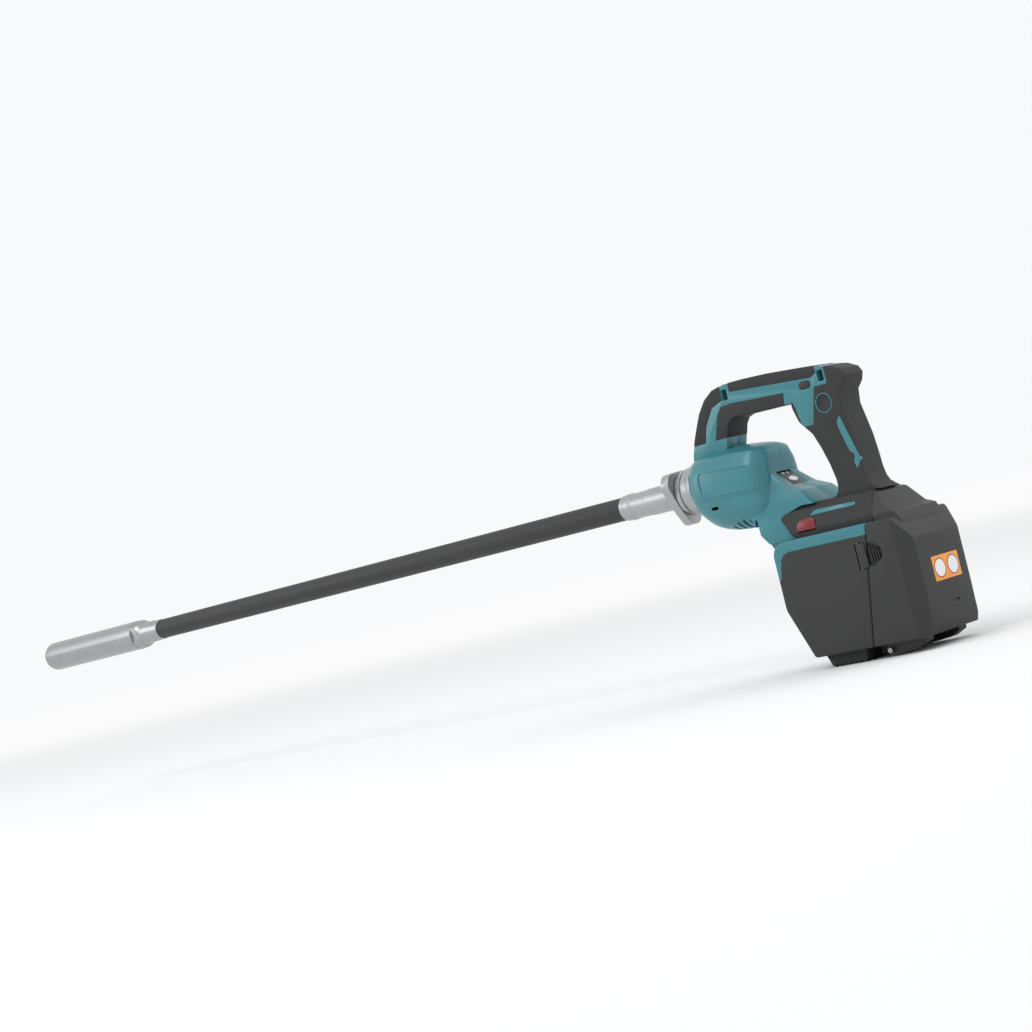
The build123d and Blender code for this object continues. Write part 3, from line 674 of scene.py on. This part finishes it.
def swell(piece, amount):
    # pushes a soft covering outwards a little, so that it stands proud of the shell
    bulge = piece.modifiers.new("Proud", "DISPLACE")
    bulge.mid_level = 0.0
    bulge.strength = amount * mm
    applyModifiers(piece)
    return piece


def leanSides(piece, xs, pairs, endPairs=None):
    # takes the upper corners off both sides, so that they lean in; the lean may change along X
    for side in (-1, 1):
        outline = [(side * y, z) for y, z in pairs]
        length = (xs[1] - xs[0]) / 2
        cutter = outlineBody("leanCutter", outline, length, (xs[0] + xs[1]) / 2, "X")
        if endPairs:
            for vertex in cutter.data.vertices:
                if abs(vertex.co.x - xs[1] * mm) < 0.0001:
                    gaps = [abs(vertex.co.y - y * mm) + abs(vertex.co.z - z * mm) for y, z in outline]
                    spot = gaps.index(min(gaps))
                    vertex.co.y = side * endPairs[spot][0] * mm
                    vertex.co.z = endPairs[spot][1] * mm
        carve(piece, cutter)
    return piece


panelPlace = {"centre": (577.7, 192.4), "slope": 40.6, "length": 25.6, "width": 23.0, "thickness": 2.4,
              "key": 3.5}


def onPanel(along, up):
    slope = radians(panelPlace["slope"])
    x, z = panelPlace["centre"]
    return (x + along * cos(slope) + up * sin(slope), z - along * sin(slope) + up * cos(slope))


def makeHousing():
    housing = {"neckReach": 31.5, "neckRim": 6.0, "wall": 3.0, "recess": 0.9, "vents": 5, "ventStart": 512.0,
               "ventStep": 8.0}
    barrel = sectionBody("motorHousing", housingSections(0), {2: 0.95, 3: 0.75, 5: 0.95, 6: 0.8, 7: 0.75}, 2)

    # the flat for the name plate is let in so that its floor follows the side
    recessFloor = swell(copyOf(barrel, "recessFloor"), -housing["recess"])
    recess = outlineBody("recessCutter", [(494.6, 217.6), (556, 213.4), (559, 209), (559, 192.4),
                                          (497.5, 192.4),
                                          (493.5, 196), (493, 214)], 60, 0.0, "Y", 1.5)
    carve(recess, recessFloor)
    carve(barrel, recess)

    neckSide = [(15.5, 212), (20.5, 202), (30.0, 169), (31.5, 150), (60, 150), (60, 212)]
    # the neck stands on the base cover and ends inside its upper skin
    neckOutline = [(540, 160), (548, 141), (556, 131), (592.5, 131), (588.5, 135), (578, 152.4),
                   (580.5, 154.8), (588, 157.8), (604, 162.0), (619, 161.2), (604.5, 176.5), (588, 183.5),
                   (567, 201.8), (550, 206)]
    neck = outlineBody("neckBlank", neckOutline, housing["neckReach"], 0.0, "Y", 1.2, housing["neckRim"],
                       2, 5)
    leanSides(neck, (500, 700), neckSide)
    carve(barrel, neck, "UNION")
    chin = outlineBody("chinBlank", [(554, 134), (560, 123), (569.8, 119.2), (572.7, 126.2), (581.5, 134)],
                       29.0)
    carve(barrel, chin, "UNION")
    inner = sectionBody("barrelRoom", housingSections(housing["wall"]), {}, 1)
    carve(barrel, inner)
    neckRoom = outlineBody("neckRoom", [(550, 158), (560, 134), (583, 134), (573.5, 152), (576, 158.5),
                                        (603, 165.6),
                                        (602, 171), (585, 178), (562, 197), (552, 199)],
                                        housing["neckReach"] - housing["wall"])
    leanSides(neckRoom, (500, 700), [(y - housing["wall"], z) for y, z in neckSide])
    carve(barrel, neckRoom)
    spigotHole = turnedBody("spigotHole", [(465, 0.05), (465, 16.1), (486, 16.1), (486, 0.05)])
    carve(barrel, spigotHole)
    for k in range(housing["vents"]):
        x = housing["ventStart"] + housing["ventStep"] * k
        height = (158, 160.5, 162, 160, 158)[k]
        slot = outlineBody("ventCutter", [(x, 140), (x + 3.8, 140), (x + 3.8, height - 3), (x + 2.9, height),
                                          (x + 0.9, height), (x, height - 3)], 60)
        carve(barrel, slot)
    for k in range(3):
        x = 549.5 + 2.4 * k
        z = 149.0 - 6.2 * k
        slitOutline = [(x - 4, z - 1.2), (x + 3, z - 1.2), (x + 3, z + 1.2), (x - 4, z + 1.2)]
        slit = outlineBody("slitCutter", slitOutline, 17)
        carve(barrel, slit)
    eye = outlineBody("eyeCutter", [(499, 177.9), (501, 177.2), (507, 177.2), (509, 177.9), (509, 180.1),
                                    (507, 180.8), (501, 180.8), (499, 180.1)], 60)
    carve(barrel, eye)
    half = panelPlace["length"] / 2 + 0.15
    depth = panelPlace["thickness"]
    pocket = outlineBody("panelCutter", [onPanel(-half, 1.0), onPanel(-half, -depth), onPanel(half, -depth),
                                         onPanel(half, 1.0)], 11.65)
    carve(barrel, pocket)
    for half, node in zip(splitHalves(barrel, "motorHousingLeft", "motorHousingRight"),
                          ("motor_housing_left", "motor_housing_right")):
        softenEdges(half, 0.3, 2, 38)
        finishPiece(half, "machine", teal, [node])


makeHousing()
print("motor housing made")


# control panel and its key
def makePanel():
    half = panelPlace["length"] / 2
    depth = panelPlace["thickness"]
    panel = outlineBody("controlPanel", [onPanel(-half, 0), onPanel(-half, -depth), onPanel(half, -depth),
                                         onPanel(half, 0)], panelPlace["width"] / 2)
    softenEdges(panel, 0.7, 3, 30)
    dropSelection()
    x, z = onPanel(panelPlace["key"], -0.5)
    bpy.ops.mesh.primitive_cylinder_add(vertices=40, radius=1.0, depth=6.0)
    well = bpy.context.object
    spot = Matrix.Translation(Vector((x, 0, z)) * mm) @ Matrix.Rotation(radians(panelPlace["slope"]), 4, "Y")
    well.data.transform(spot @ Matrix.Diagonal((4.4 * mm, 6.4 * mm, mm, 1)))
    carve(panel, well)
    finishPiece(panel, "machine", panelBlack, ["control_panel"])

    dropSelection()
    bpy.ops.mesh.primitive_cylinder_add(vertices=40, radius=1.0, depth=3.4)
    key = bpy.context.object
    key.name = "powerKey"
    key.data.transform(spot @ Matrix.Diagonal((4.0 * mm, 6.0 * mm, mm, 1)) @ Matrix.Translation((0, 0, -0.5)))
    softenEdges(key, 0.7, 3, 40)
    finishPiece(key, "power_key", whiteKey, ["power_button"])

    # two small lamp rings
    turn = Matrix.Rotation(radians(panelPlace["slope"]), 4, "Y")
    for name, along, across, size, paint in (("lampLeft", -7.2, -3.8, 1.5, badgeWhite),
                                             ("lampRight", -7.2, 3.8, 1.5, badgeWhite)):
        x, z = onPanel(along, 0.05)
        dropSelection()
        bpy.ops.mesh.primitive_torus_add(major_segments=24, minor_segments=8, major_radius=size * mm,
                                         minor_radius=0.28 * mm)
        lamp = bpy.context.object
        lamp.name = name
        lamp.data.transform(Matrix.Translation(Vector((x, across, z)) * mm) @ turn)
        finishPiece(lamp, "machine", paint)


makePanel()


# D-handle
handleOuter = [(474, 226), (477, 238), (483, 252), (490, 265), (497, 277), (507, 288.5), (519, 296),
               (535, 299), (560, 298.6), (590, 297), (622, 294), (648, 290.8), (666, 287), (677, 281.5),
               (680.5, 275), (677.5, 267), (671, 260), (669, 246), (672, 230), (675, 213), (676.5, 193),
               (677.2, 180), (678.6, 172), (681.6, 166), (686.5, 162), (690, 160)]
handleInner = [(630, 160), (637, 162.4), (641, 166.6), (642.4, 172), (642.5, 178), (639.5, 194), (634, 212),
               (628, 227), (622.5, 233.5), (618.5, 238), (616.5, 248), (615.5, 256), (613, 262),
               (575, 263.2), (541, 264.2), (533.5, 262), (528.6, 256), (520, 232)]
handleOutline = handleOuter + handleInner


def handleBlank(name, grow=0.0):
    return outlineBody(name, handleOutline, 17.0 + grow, 0.0, "Y", 0.0, 5.0, 1, 5)


def stripCutters(name, outlines, reach=40):
    cutters = []
    for outline in outlines:
        cutters.append(outlineBody(name, outline, reach))
    first = cutters[0]
    for other in cutters[1:]:
        takeUp(first)
        other.select_set(True)
        bpy.ops.object.join()
    return first


def makeHandle():
    cuts = {
        "outer": [(470, 246), (497, 246), (502, 262), (515, 279), (530, 284), (530, 304), (470, 304)],
        "top": [(541, 310), (541, 290), (642, 281), (649, 284), (649, 310)],
        "inner": [(509.5, 246), (560, 246), (560, 258), (603, 258), (606, 274), (541, 278.5), (526, 278),
                  (519, 270)],
        "grip": [(659, 310), (659, 271.5), (643, 271.5), (632, 236), (616, 236), (616, 150), (700, 150),
                 (700, 310)],
        "inlay": [(664, 238), (659.5, 232.5), (660, 226), (666, 203), (671, 198), (668.5, 190.5),
                  (670, 184), (677, 192)]}
    blank = handleBlank("handleBlank")
    for x, z in ((534.0, 288.5), (653.5, 280.5)):
        slot = outlineBody("strapCutter", [(x - 3.6, z - 5.5), (x + 3.6, z - 5.5), (x + 3.6, z + 5.5),
                                           (x - 3.6, z + 5.5)], 40, 0.0, "Y", 1.2)
        carve(blank, slot)

    grip = copyOf(blank, "rearGrip")
    gripCutter = outlineBody("gripCutter", cuts["grip"], 40)
    carve(grip, gripCutter, "INTERSECT", True)
    padCutter = stripCutters("padCutter", [cuts["outer"], cuts["top"]])
    outerPad = copyOf(blank, "outerGripPad")
    carve(outerPad, padCutter, "INTERSECT", True)
    carve(outerPad, gripCutter, "DIFFERENCE", True)
    innerCutter = outlineBody("innerCutter", cuts["inner"], 40)
    innerPad = copyOf(blank, "innerGripPad")
    carve(innerPad, innerCutter, "INTERSECT", True)
    shell = blank
    for cutter in (gripCutter, padCutter, innerCutter):
        carve(shell, cutter)
    triggerSlot = boxBody("triggerCutter", (600, 622.4), (-10, 10), (230, 271.4))
    switchRoom = boxBody("switchRoom", (619.5, 655), (-11, 11), (237.6, 270))
    for body in (grip, shell):
        carve(body, switchRoom, "DIFFERENCE", True)
    bpy.data.objects.remove(switchRoom)
    carve(shell, triggerSlot, "DIFFERENCE", True)
    carve(innerPad, triggerSlot)
    pill = [(633 + 3.5 * side + 3.9 * cos(a), 275.5 + 3.9 * sin(a))
            for side, turns in ((1, range(-90, 91, 30)), (-1, range(90, 271, 30)))
            for a in (radians(t) for t in turns)]
    carve(shell, outlineBody("pillCutter", pill, 40))
    for cutterTarget in (shell, grip):
        carve(cutterTarget, pinBody("bossCutter", 650, 253.8, 8.9, (-40, -10.2), 48))
    softenEdges(outerPad, 0.9, 3, 40)
    softenEdges(innerPad, 0.9, 3, 40)
    swell(outerPad, 0.35)
    swell(innerPad, 0.35)
    for half, node in zip(splitHalves(shell, "handleShellLeft", "handleShellRight"),
                          ("handle_shell_left", "handle_shell_right")):
        softenEdges(half, 0.5, 2, 40)
        finishPiece(half, "machine", teal, [node])
    finishPiece(outerPad, "machine", gripRubber, ["outer_grip_pad"])
    finishPiece(innerPad, "machine", gripRubber, ["inner_grip_pad"])

    # the inlays are cut from a copy of the grip, so that they follow its rounded sides
    inlays = swell(copyOf(grip, "gripInlays"), 0.25)
    sides = stripCutters("inlaySides", [cuts["inlay"]])
    carve(inlays, sides, "INTERSECT", True)
    carve(inlays, boxBody("inlayMiddle", (600, 720), (-14.3, 14.3), (140, 300)))
    carve(sides, boxBody("sideMiddle", (600, 720), (-14.7, 14.7), (140, 300)))
    carve(grip, sides)
    softenEdges(grip, 0.9, 3, 40)
    finishPiece(grip, "machine", gripRubber, ["rear_grip_overmould"])
    finishPiece(inlays, "machine", teal, ["grip_inlays"])


makeHandle()
print("handle made")


# trigger and buttons
def makeControls():
    finger = [(605.2, 262.6), (605.6, 256), (607.6, 249), (609.6, 242.5), (612.4, 238.6), (617, 237.6),
              (620.8, 240.5), (621.5, 249), (621.3, 266), (619, 269.6), (616, 269.8), (612.5, 268)]
    trigger = outlineBody("triggerLever", finger, 9.5, 0.0, "Y", 0.0, 1.8, 1, 4)
    for k in range(4):
        z = 246 + 4.2 * k
        groove = pinBody("grooveCutter", 605.6 + abs(3 - k) * 0.95 - 1.6, z, 1.1, (-7.5, 7.5), 16)
        carve(trigger, groove)
    finishPiece(softenEdges(trigger, 0.2, 2, 45), "trigger_lever", darkPlastic, ["trigger"])

    pill = [(633 + 3.5 * side + 3.4 * cos(a), 275.5 + 3.4 * sin(a))
            for side, turns in ((1, range(-90, 91, 18)), (-1, range(90, 271, 18)))
            for a in (radians(t) for t in turns)]
    slider = outlineBody("lockOffButton", pill, 17.6, 0.0, "Y", 0.0, 0.9, 1, 3)
    finishPiece(slider, "lock_off", darkPlastic, ["lock_off_button"])

    cap = pinBody("lockOnButton", 650, 253.8, 8.2, (-16.9, -12.6), 56)
    softenEdges(cap, 1.0, 3, 40)
    dropSelection()
    bpy.ops.mesh.primitive_uv_sphere_add(segments=48, ring_count=24, radius=24 * mm,
                                         location=(650 * mm, -39.4 * mm, 253.8 * mm))
    dish = bpy.context.object
    bpy.ops.object.transform_apply(location=True, rotation=True, scale=True)
    carve(cap, dish)
    finishPiece(cap, "lock_on", gripRubber, ["lock_on_button"])
    dropSelection()
    bpy.ops.mesh.primitive_torus_add(major_segments=72, minor_segments=10, major_radius=9.2 * mm,
                                     minor_radius=0.65 * mm)
    ring = bpy.context.object
    ring.name = "lockOnRing"
    ring.data.transform(Matrix.Translation((650 * mm, -16.9 * mm, 253.8 * mm)) @ Matrix.Rotation(pi / 2, 4,
                                                                                                 "X"))
    finishPiece(ring, "machine", teal)


makeControls()
print("controls made")


# grip base cover
roofLine = [(17.5, 166), (26.0, 158), (36.5, 136), (60, 136), (60, 166)]
tipLine = [(31.8, 166), (32.6, 157), (36.5, 136), (60, 136), (60, 166)]


def leanCover(piece, grow=0.0):
    # upright at the tip beside the neck, leaning in by the foot of the grip
    tip, roof = ([(y + grow * 0.9, z + grow * 0.45) for y, z in line] for line in (tipLine, roofLine))
    leanSides(piece, (570, 650), tip, roof)
    leanSides(piece, (649.9, 760), roof)
    return piece


def makeBase():
    outline = [(577, 152.8), (580, 155.4), (588, 158.4), (604, 162.6), (636, 161), (684, 160.5), (686, 157),
               (686, 131), (592, 131), (588, 135)]
    cover = outlineBody("gripBaseCover", outline, 36.0, 0.0, "Y", 3.0, 0.0, 3)
    leanCover(cover)
    stripe = [(613, 150.2), (618.5, 154.4), (664, 153.6), (666.5, 152.2), (665.5, 150.2)]
    badge = [(596, 135.5), (599, 132.8), (617, 133.6), (619, 136.5), (618, 146), (614, 148.6), (601, 147.4),
             (597, 144)]
    softenEdges(cover, 1.2, 3, 25)
    finishPiece(cover, "machine", gripRubber, ["grip_base_cover"])

    # thin mouldings let into the leaning side: they are cut from a skin that follows it
    for name, shape, paint, slotName, proud in (("baseStripe", stripe, teal, "teal_plastic", 0.35),
                                                ("baseBadge", badge, badgeRed, "label_print", 0.45)):
        skin = outlineBody(name, shape, 36.0, 0.0, "Y", 1.0)
        leanCover(skin, proud)
        core = outlineBody("skinCore", [(565, 125), (565, 175), (695, 175), (695, 125)], 40.0)
        leanCover(core, -0.6)
        carve(skin, core)
        softenEdges(skin, 0.12, 2, 40)
        finishPiece(skin, "machine", paint)


makeBase()
print("base cover made")


# battery case, skirt and lid
caseOutline = [(570, 64), (570, 119), (573, 126), (582, 131), (685, 131), (661, 13), (591, 13)]
lidOutline = [(661.3, 13), (685.3, 131), (713, 131), (728, 108), (728, 55), (727, 22), (722, 13)]
latchSpot = {"x": 669.5, "width": 10.0, "low": 88.5, "high": 113.5}


def latchBacking(name, side):
    low, high = sorted((side * 43, side * 48))
    return boxBody(name, (latchSpot["x"] - 6, latchSpot["x"] + 28), (low, high), (83.5, 118.5))


def latchPocket(side):
    low, high = sorted((side * 45.8, side * 60))
    return boxBody("latchCutter", (latchSpot["x"] - 2.2, latchSpot["x"] + latchSpot["width"]), (low, high),
                   (latchSpot["low"] - 0.6, latchSpot["high"] + 0.6), 0.8, 3)


def makeCase():
    blank = outlineBody("batteryCase", caseOutline, 50.0, 0.0, "Y", 2.4, 4.0, 3, 5)
    room = outlineBody("caseRoom", [(574, 64), (574, 117), (583, 126), (700, 126), (700, 16.5),
                                    (593, 16.5)], 47.0)
    carve(blank, room)
    skirtOutline = [(582, 140), (560, 140), (560, 94), (573.5, 94), (579, 114), (583.5, 118.4), (590, 120),
                    (700, 120), (700, 140)]
    skirt = copyOf(blank, "caseSkirt")
    skirtKeeper = outlineBody("skirtKeeper", skirtOutline, 60)
    carve(skirt, skirtKeeper, "INTERSECT", True)
    carve(blank, skirtKeeper)
    for side in (-1, 1):
        backing = latchBacking("latchBacking", side)
        frontKeeper = outlineBody("frontKeeper", [(600, 13), (661, 13), (685, 131), (600, 131)], 60)
        carve(backing, frontKeeper, "INTERSECT")
        carve(blank, backing, "UNION")
        carve(blank, latchPocket(side))
    lug = boxBody("hingeLug", (650, 672), (-22, 22), (3, 14))
    carve(blank, lug, "UNION")
    carve(blank, pinBody("hingeBoss", 672, 6.5, 6.0, (-22, 22), 40), "UNION")
    carve(blank, pinBody("hingeBore", 672, 6.5, 2.5, (-60, 60), 32))
    softenEdges(blank, 0.5, 2, 40)
    finishPiece(blank, "machine", darkPlastic, ["battery_case"])
    softenEdges(skirt, 0.7, 3, 40)
    finishPiece(skirt, "machine", teal, ["case_skirt"])


def bevelWedge(name, side, inset):
    points = [(713 - inset, side * 50.1), (729 - inset, side * 38.5), (745, side * 38.5), (745, side * 60),
              (713 - inset, side * 60)]
    return outlineBody(name, points, 200, 150, "Z")


def makeLid():
    lid = outlineBody("batteryLid", lidOutline, 50.0, 0.0, "Y", 2.0, 4.0, 2, 5)
    spine = outlineBody("lidSpine", [(686.5, 131), (686.5, 158.5), (691, 157), (703, 139), (713, 135),
                                     (718, 124),
                                     (700, 118)], 36.0)
    leanSides(spine, (640, 760), roofLine)
    carve(lid, spine, "UNION")
    for side in (-1, 1):
        carve(lid, bevelWedge("cornerCutter", side, 0))
    softenEdges(lid, 1.4, 3, 24)
    room = outlineBody("lidRoom", [(655, 16.5), (676, 126), (708, 126), (723.5, 106), (724, 55), (723, 24),
                                   (719, 16.5)], 46.0)
    for side in (-1, 1):
        carve(room, bevelWedge("cornerCutter", side, 4))
    carve(lid, room)
    for side in (-1, 1):
        backing = latchBacking("latchBacking", side)
        carve(backing, outlineBody("rearKeeper", [lidOutline[0], (760, 13), (760, 131), lidOutline[1]], 60),
              "INTERSECT")
        carve(lid, backing, "UNION")
        carve(lid, latchPocket(side))
        ys = sorted((side * 46.8, side * 60))
        scoop = pinBody("scoopCutter", 685.5, 101, 11.5, ys, 56)
        carve(scoop, boxBody("scoopKeeper", (679.0, 760), (-70, 70), (80, 120)), "INTERSECT")
        softenEdges(scoop, 0.8, 3, 40)
        carve(lid, scoop)
        low, high = sorted((side * 22.5, side * 36))
        arm = outlineBody("lidArm", [(672, 12), (668, 3.6), (674, 0.9), (700, 3.4), (712, 8.6), (713, 14),
                                     (672, 14)],
                          (high - low) / 2, (high + low) / 2)
        carve(lid, arm, "UNION")
        carve(lid, pinBody("hingeBoss", 672, 6.5, 6.0, (low, high), 40), "UNION")
    carve(lid, pinBody("hingeBore", 672, 6.5, 2.55, (-60, 60), 32))
    carve(lid, boxBody("slotCutter", (726.0, 740), (-2, 14), (38.6, 41.0), 0.3))
    carve(lid, boxBody("labelRoom", (cadHigh.x / mm - 0.3, 740), (-19, 27), (61, 85)))
    softenEdges(lid, 0.4, 2, 42)
    finishPiece(lid, "lid", darkPlastic, ["battery_lid"])

    # grip ribs in the two finger scoops
    for side, name in ((-1, "scoopRibsLeft"), (1, "scoopRibsRight")):
        ribs = None
        for k in range(4):
            low, high = sorted((side * 46.7, side * 48.6))
            x = 682.5 + 3.0 * k
            half = 8.6 - 0.9 * k
            rib = boxBody(name, (x, x + 1.1), (low, high), (101 - half, 101 + half), 0.35, 2)
            if ribs:
                takeUp(ribs)
                rib.select_set(True)
                bpy.ops.object.join()
            else:
                ribs = rib
        finishPiece(ribs, "lid", darkPlastic)


makeCase()
makeLid()
print("case and lid made")


# latches
def makeLatches():
    for side, name, body in ((-1, "latchLeft", "latch_l"), (1, "latchRight", "latch_r")):
        low, high = sorted((side * 46.4, side * 50.4))
        tab = boxBody(name, (669.7, 678.9), (low, high), (88.5, 113.5), 0.9, 3)
        dropSelection()
        bpy.ops.mesh.primitive_cylinder_add(vertices=28, radius=1.9 * mm, depth=25 * mm,
                                            location=(669.5 * mm, side * 48 * mm, 101 * mm))
        knuckle = bpy.context.object
        bpy.ops.object.transform_apply(location=True, rotation=True, scale=True)
        carve(tab, knuckle, "UNION")
        softenEdges(tab, 0.2, 2, 40)
        finishPiece(tab, body, darkPlastic, ["latch_left" if side < 0 else "latch_right"])


makeLatches()


# ribbed foot
def makeFoot():
    foot = outlineBody("rubberFoot", [(597, 13), (602, 1.5), (605, 0), (640, 0), (644, 3), (646, 13)],
                       40.0, 0.0,
                       "Y", 0.8, 1.6, 2, 3)
    for k in range(6):
        x = 606 + 6 * k
        carve(foot, boxBody("grooveCutter", (x, x + 2.5), (-60, 60), (-2, 2.2)))
    finishPiece(softenEdges(foot, 0.3, 2, 40), "machine", footRubber, ["rubber_foot"])


makeFoot()


# label: a plain orange plate with two plain rings
def makeLabel():
    rear = cadHigh.x / mm
    plate = boxBody("lidLabel", (rear - 0.3, rear), (-19, 27), (61, 85), 0.12, 2)
    material, place = newFinish("labelPrint")
    grain = place.noise(600, 2)
    base = grain.blend(colour(0.78, 0.27, 0.02), colour(0.86, 0.33, 0.04))
    closeFinish(place, base, 0.32 + grain * 0.1, grain, 0.01, 0.3)
    finishPiece(plate, "lid", material, ["lid_label"])
    for name, y in (("labelDiscLeft", -7.4), ("labelDiscRight", 15.4)):
        dropSelection()
        bpy.ops.mesh.primitive_cylinder_add(vertices=48, radius=9.2 * mm, depth=0.16 * mm,
                                            location=((rear + 0.06) * mm, y * mm, 73 * mm),
                                            rotation=(0, pi / 2, 0))
        disc = bpy.context.object
        disc.name = name
        bpy.ops.object.transform_apply(location=True, rotation=True, scale=True)
        softenEdges(disc, 0.04, 1, 40)
        finishPiece(disc, "lid", badgeWhite)
        dropSelection()
        bpy.ops.mesh.primitive_torus_add(major_segments=56, minor_segments=8, major_radius=9.0 * mm,
                                         minor_radius=0.55 * mm)
        ring = bpy.context.object
        ring.name = name + "Ring"
        flatten = Matrix.Diagonal((0.25, 1, 1, 1))
        ring.data.transform(Matrix.Translation(((rear + 0.1) * mm, y * mm, 73 * mm)) @ flatten
                            @ Matrix.Rotation(pi / 2, 4, "Y"))
        finishPiece(ring, "lid", badgeRed)


makeLabel()
print("latches, foot and label made")


# finishes of the CAD nodes that stay
nodePaint = {"plated_steel": platedSteel, "cast_aluminium": castAluminium, "bright_steel": brightSteel,
             "core_steel": coreSteel, "copper": copperWire, "circuit_board": circuitBoard,
             "dark_plastic": darkPlastic, "teal_plastic": teal, "grip_elastomer": gripRubber,
             "foot_rubber": footRubber, "hose_rubber": hoseRubber, "label_print": badgeWhite,
             "white_key": whiteKey}
slotOf = {part["node"]: part["material_slot"] for part in frame["record"]["subparts"]}
for nodeName, node in frame["nodes"].items():
    paint = nodePaint[slotOf[nodeName]]
    if not node.material_slots:
        node.data.materials.append(paint)
    for place in node.material_slots:
        place.material = paint
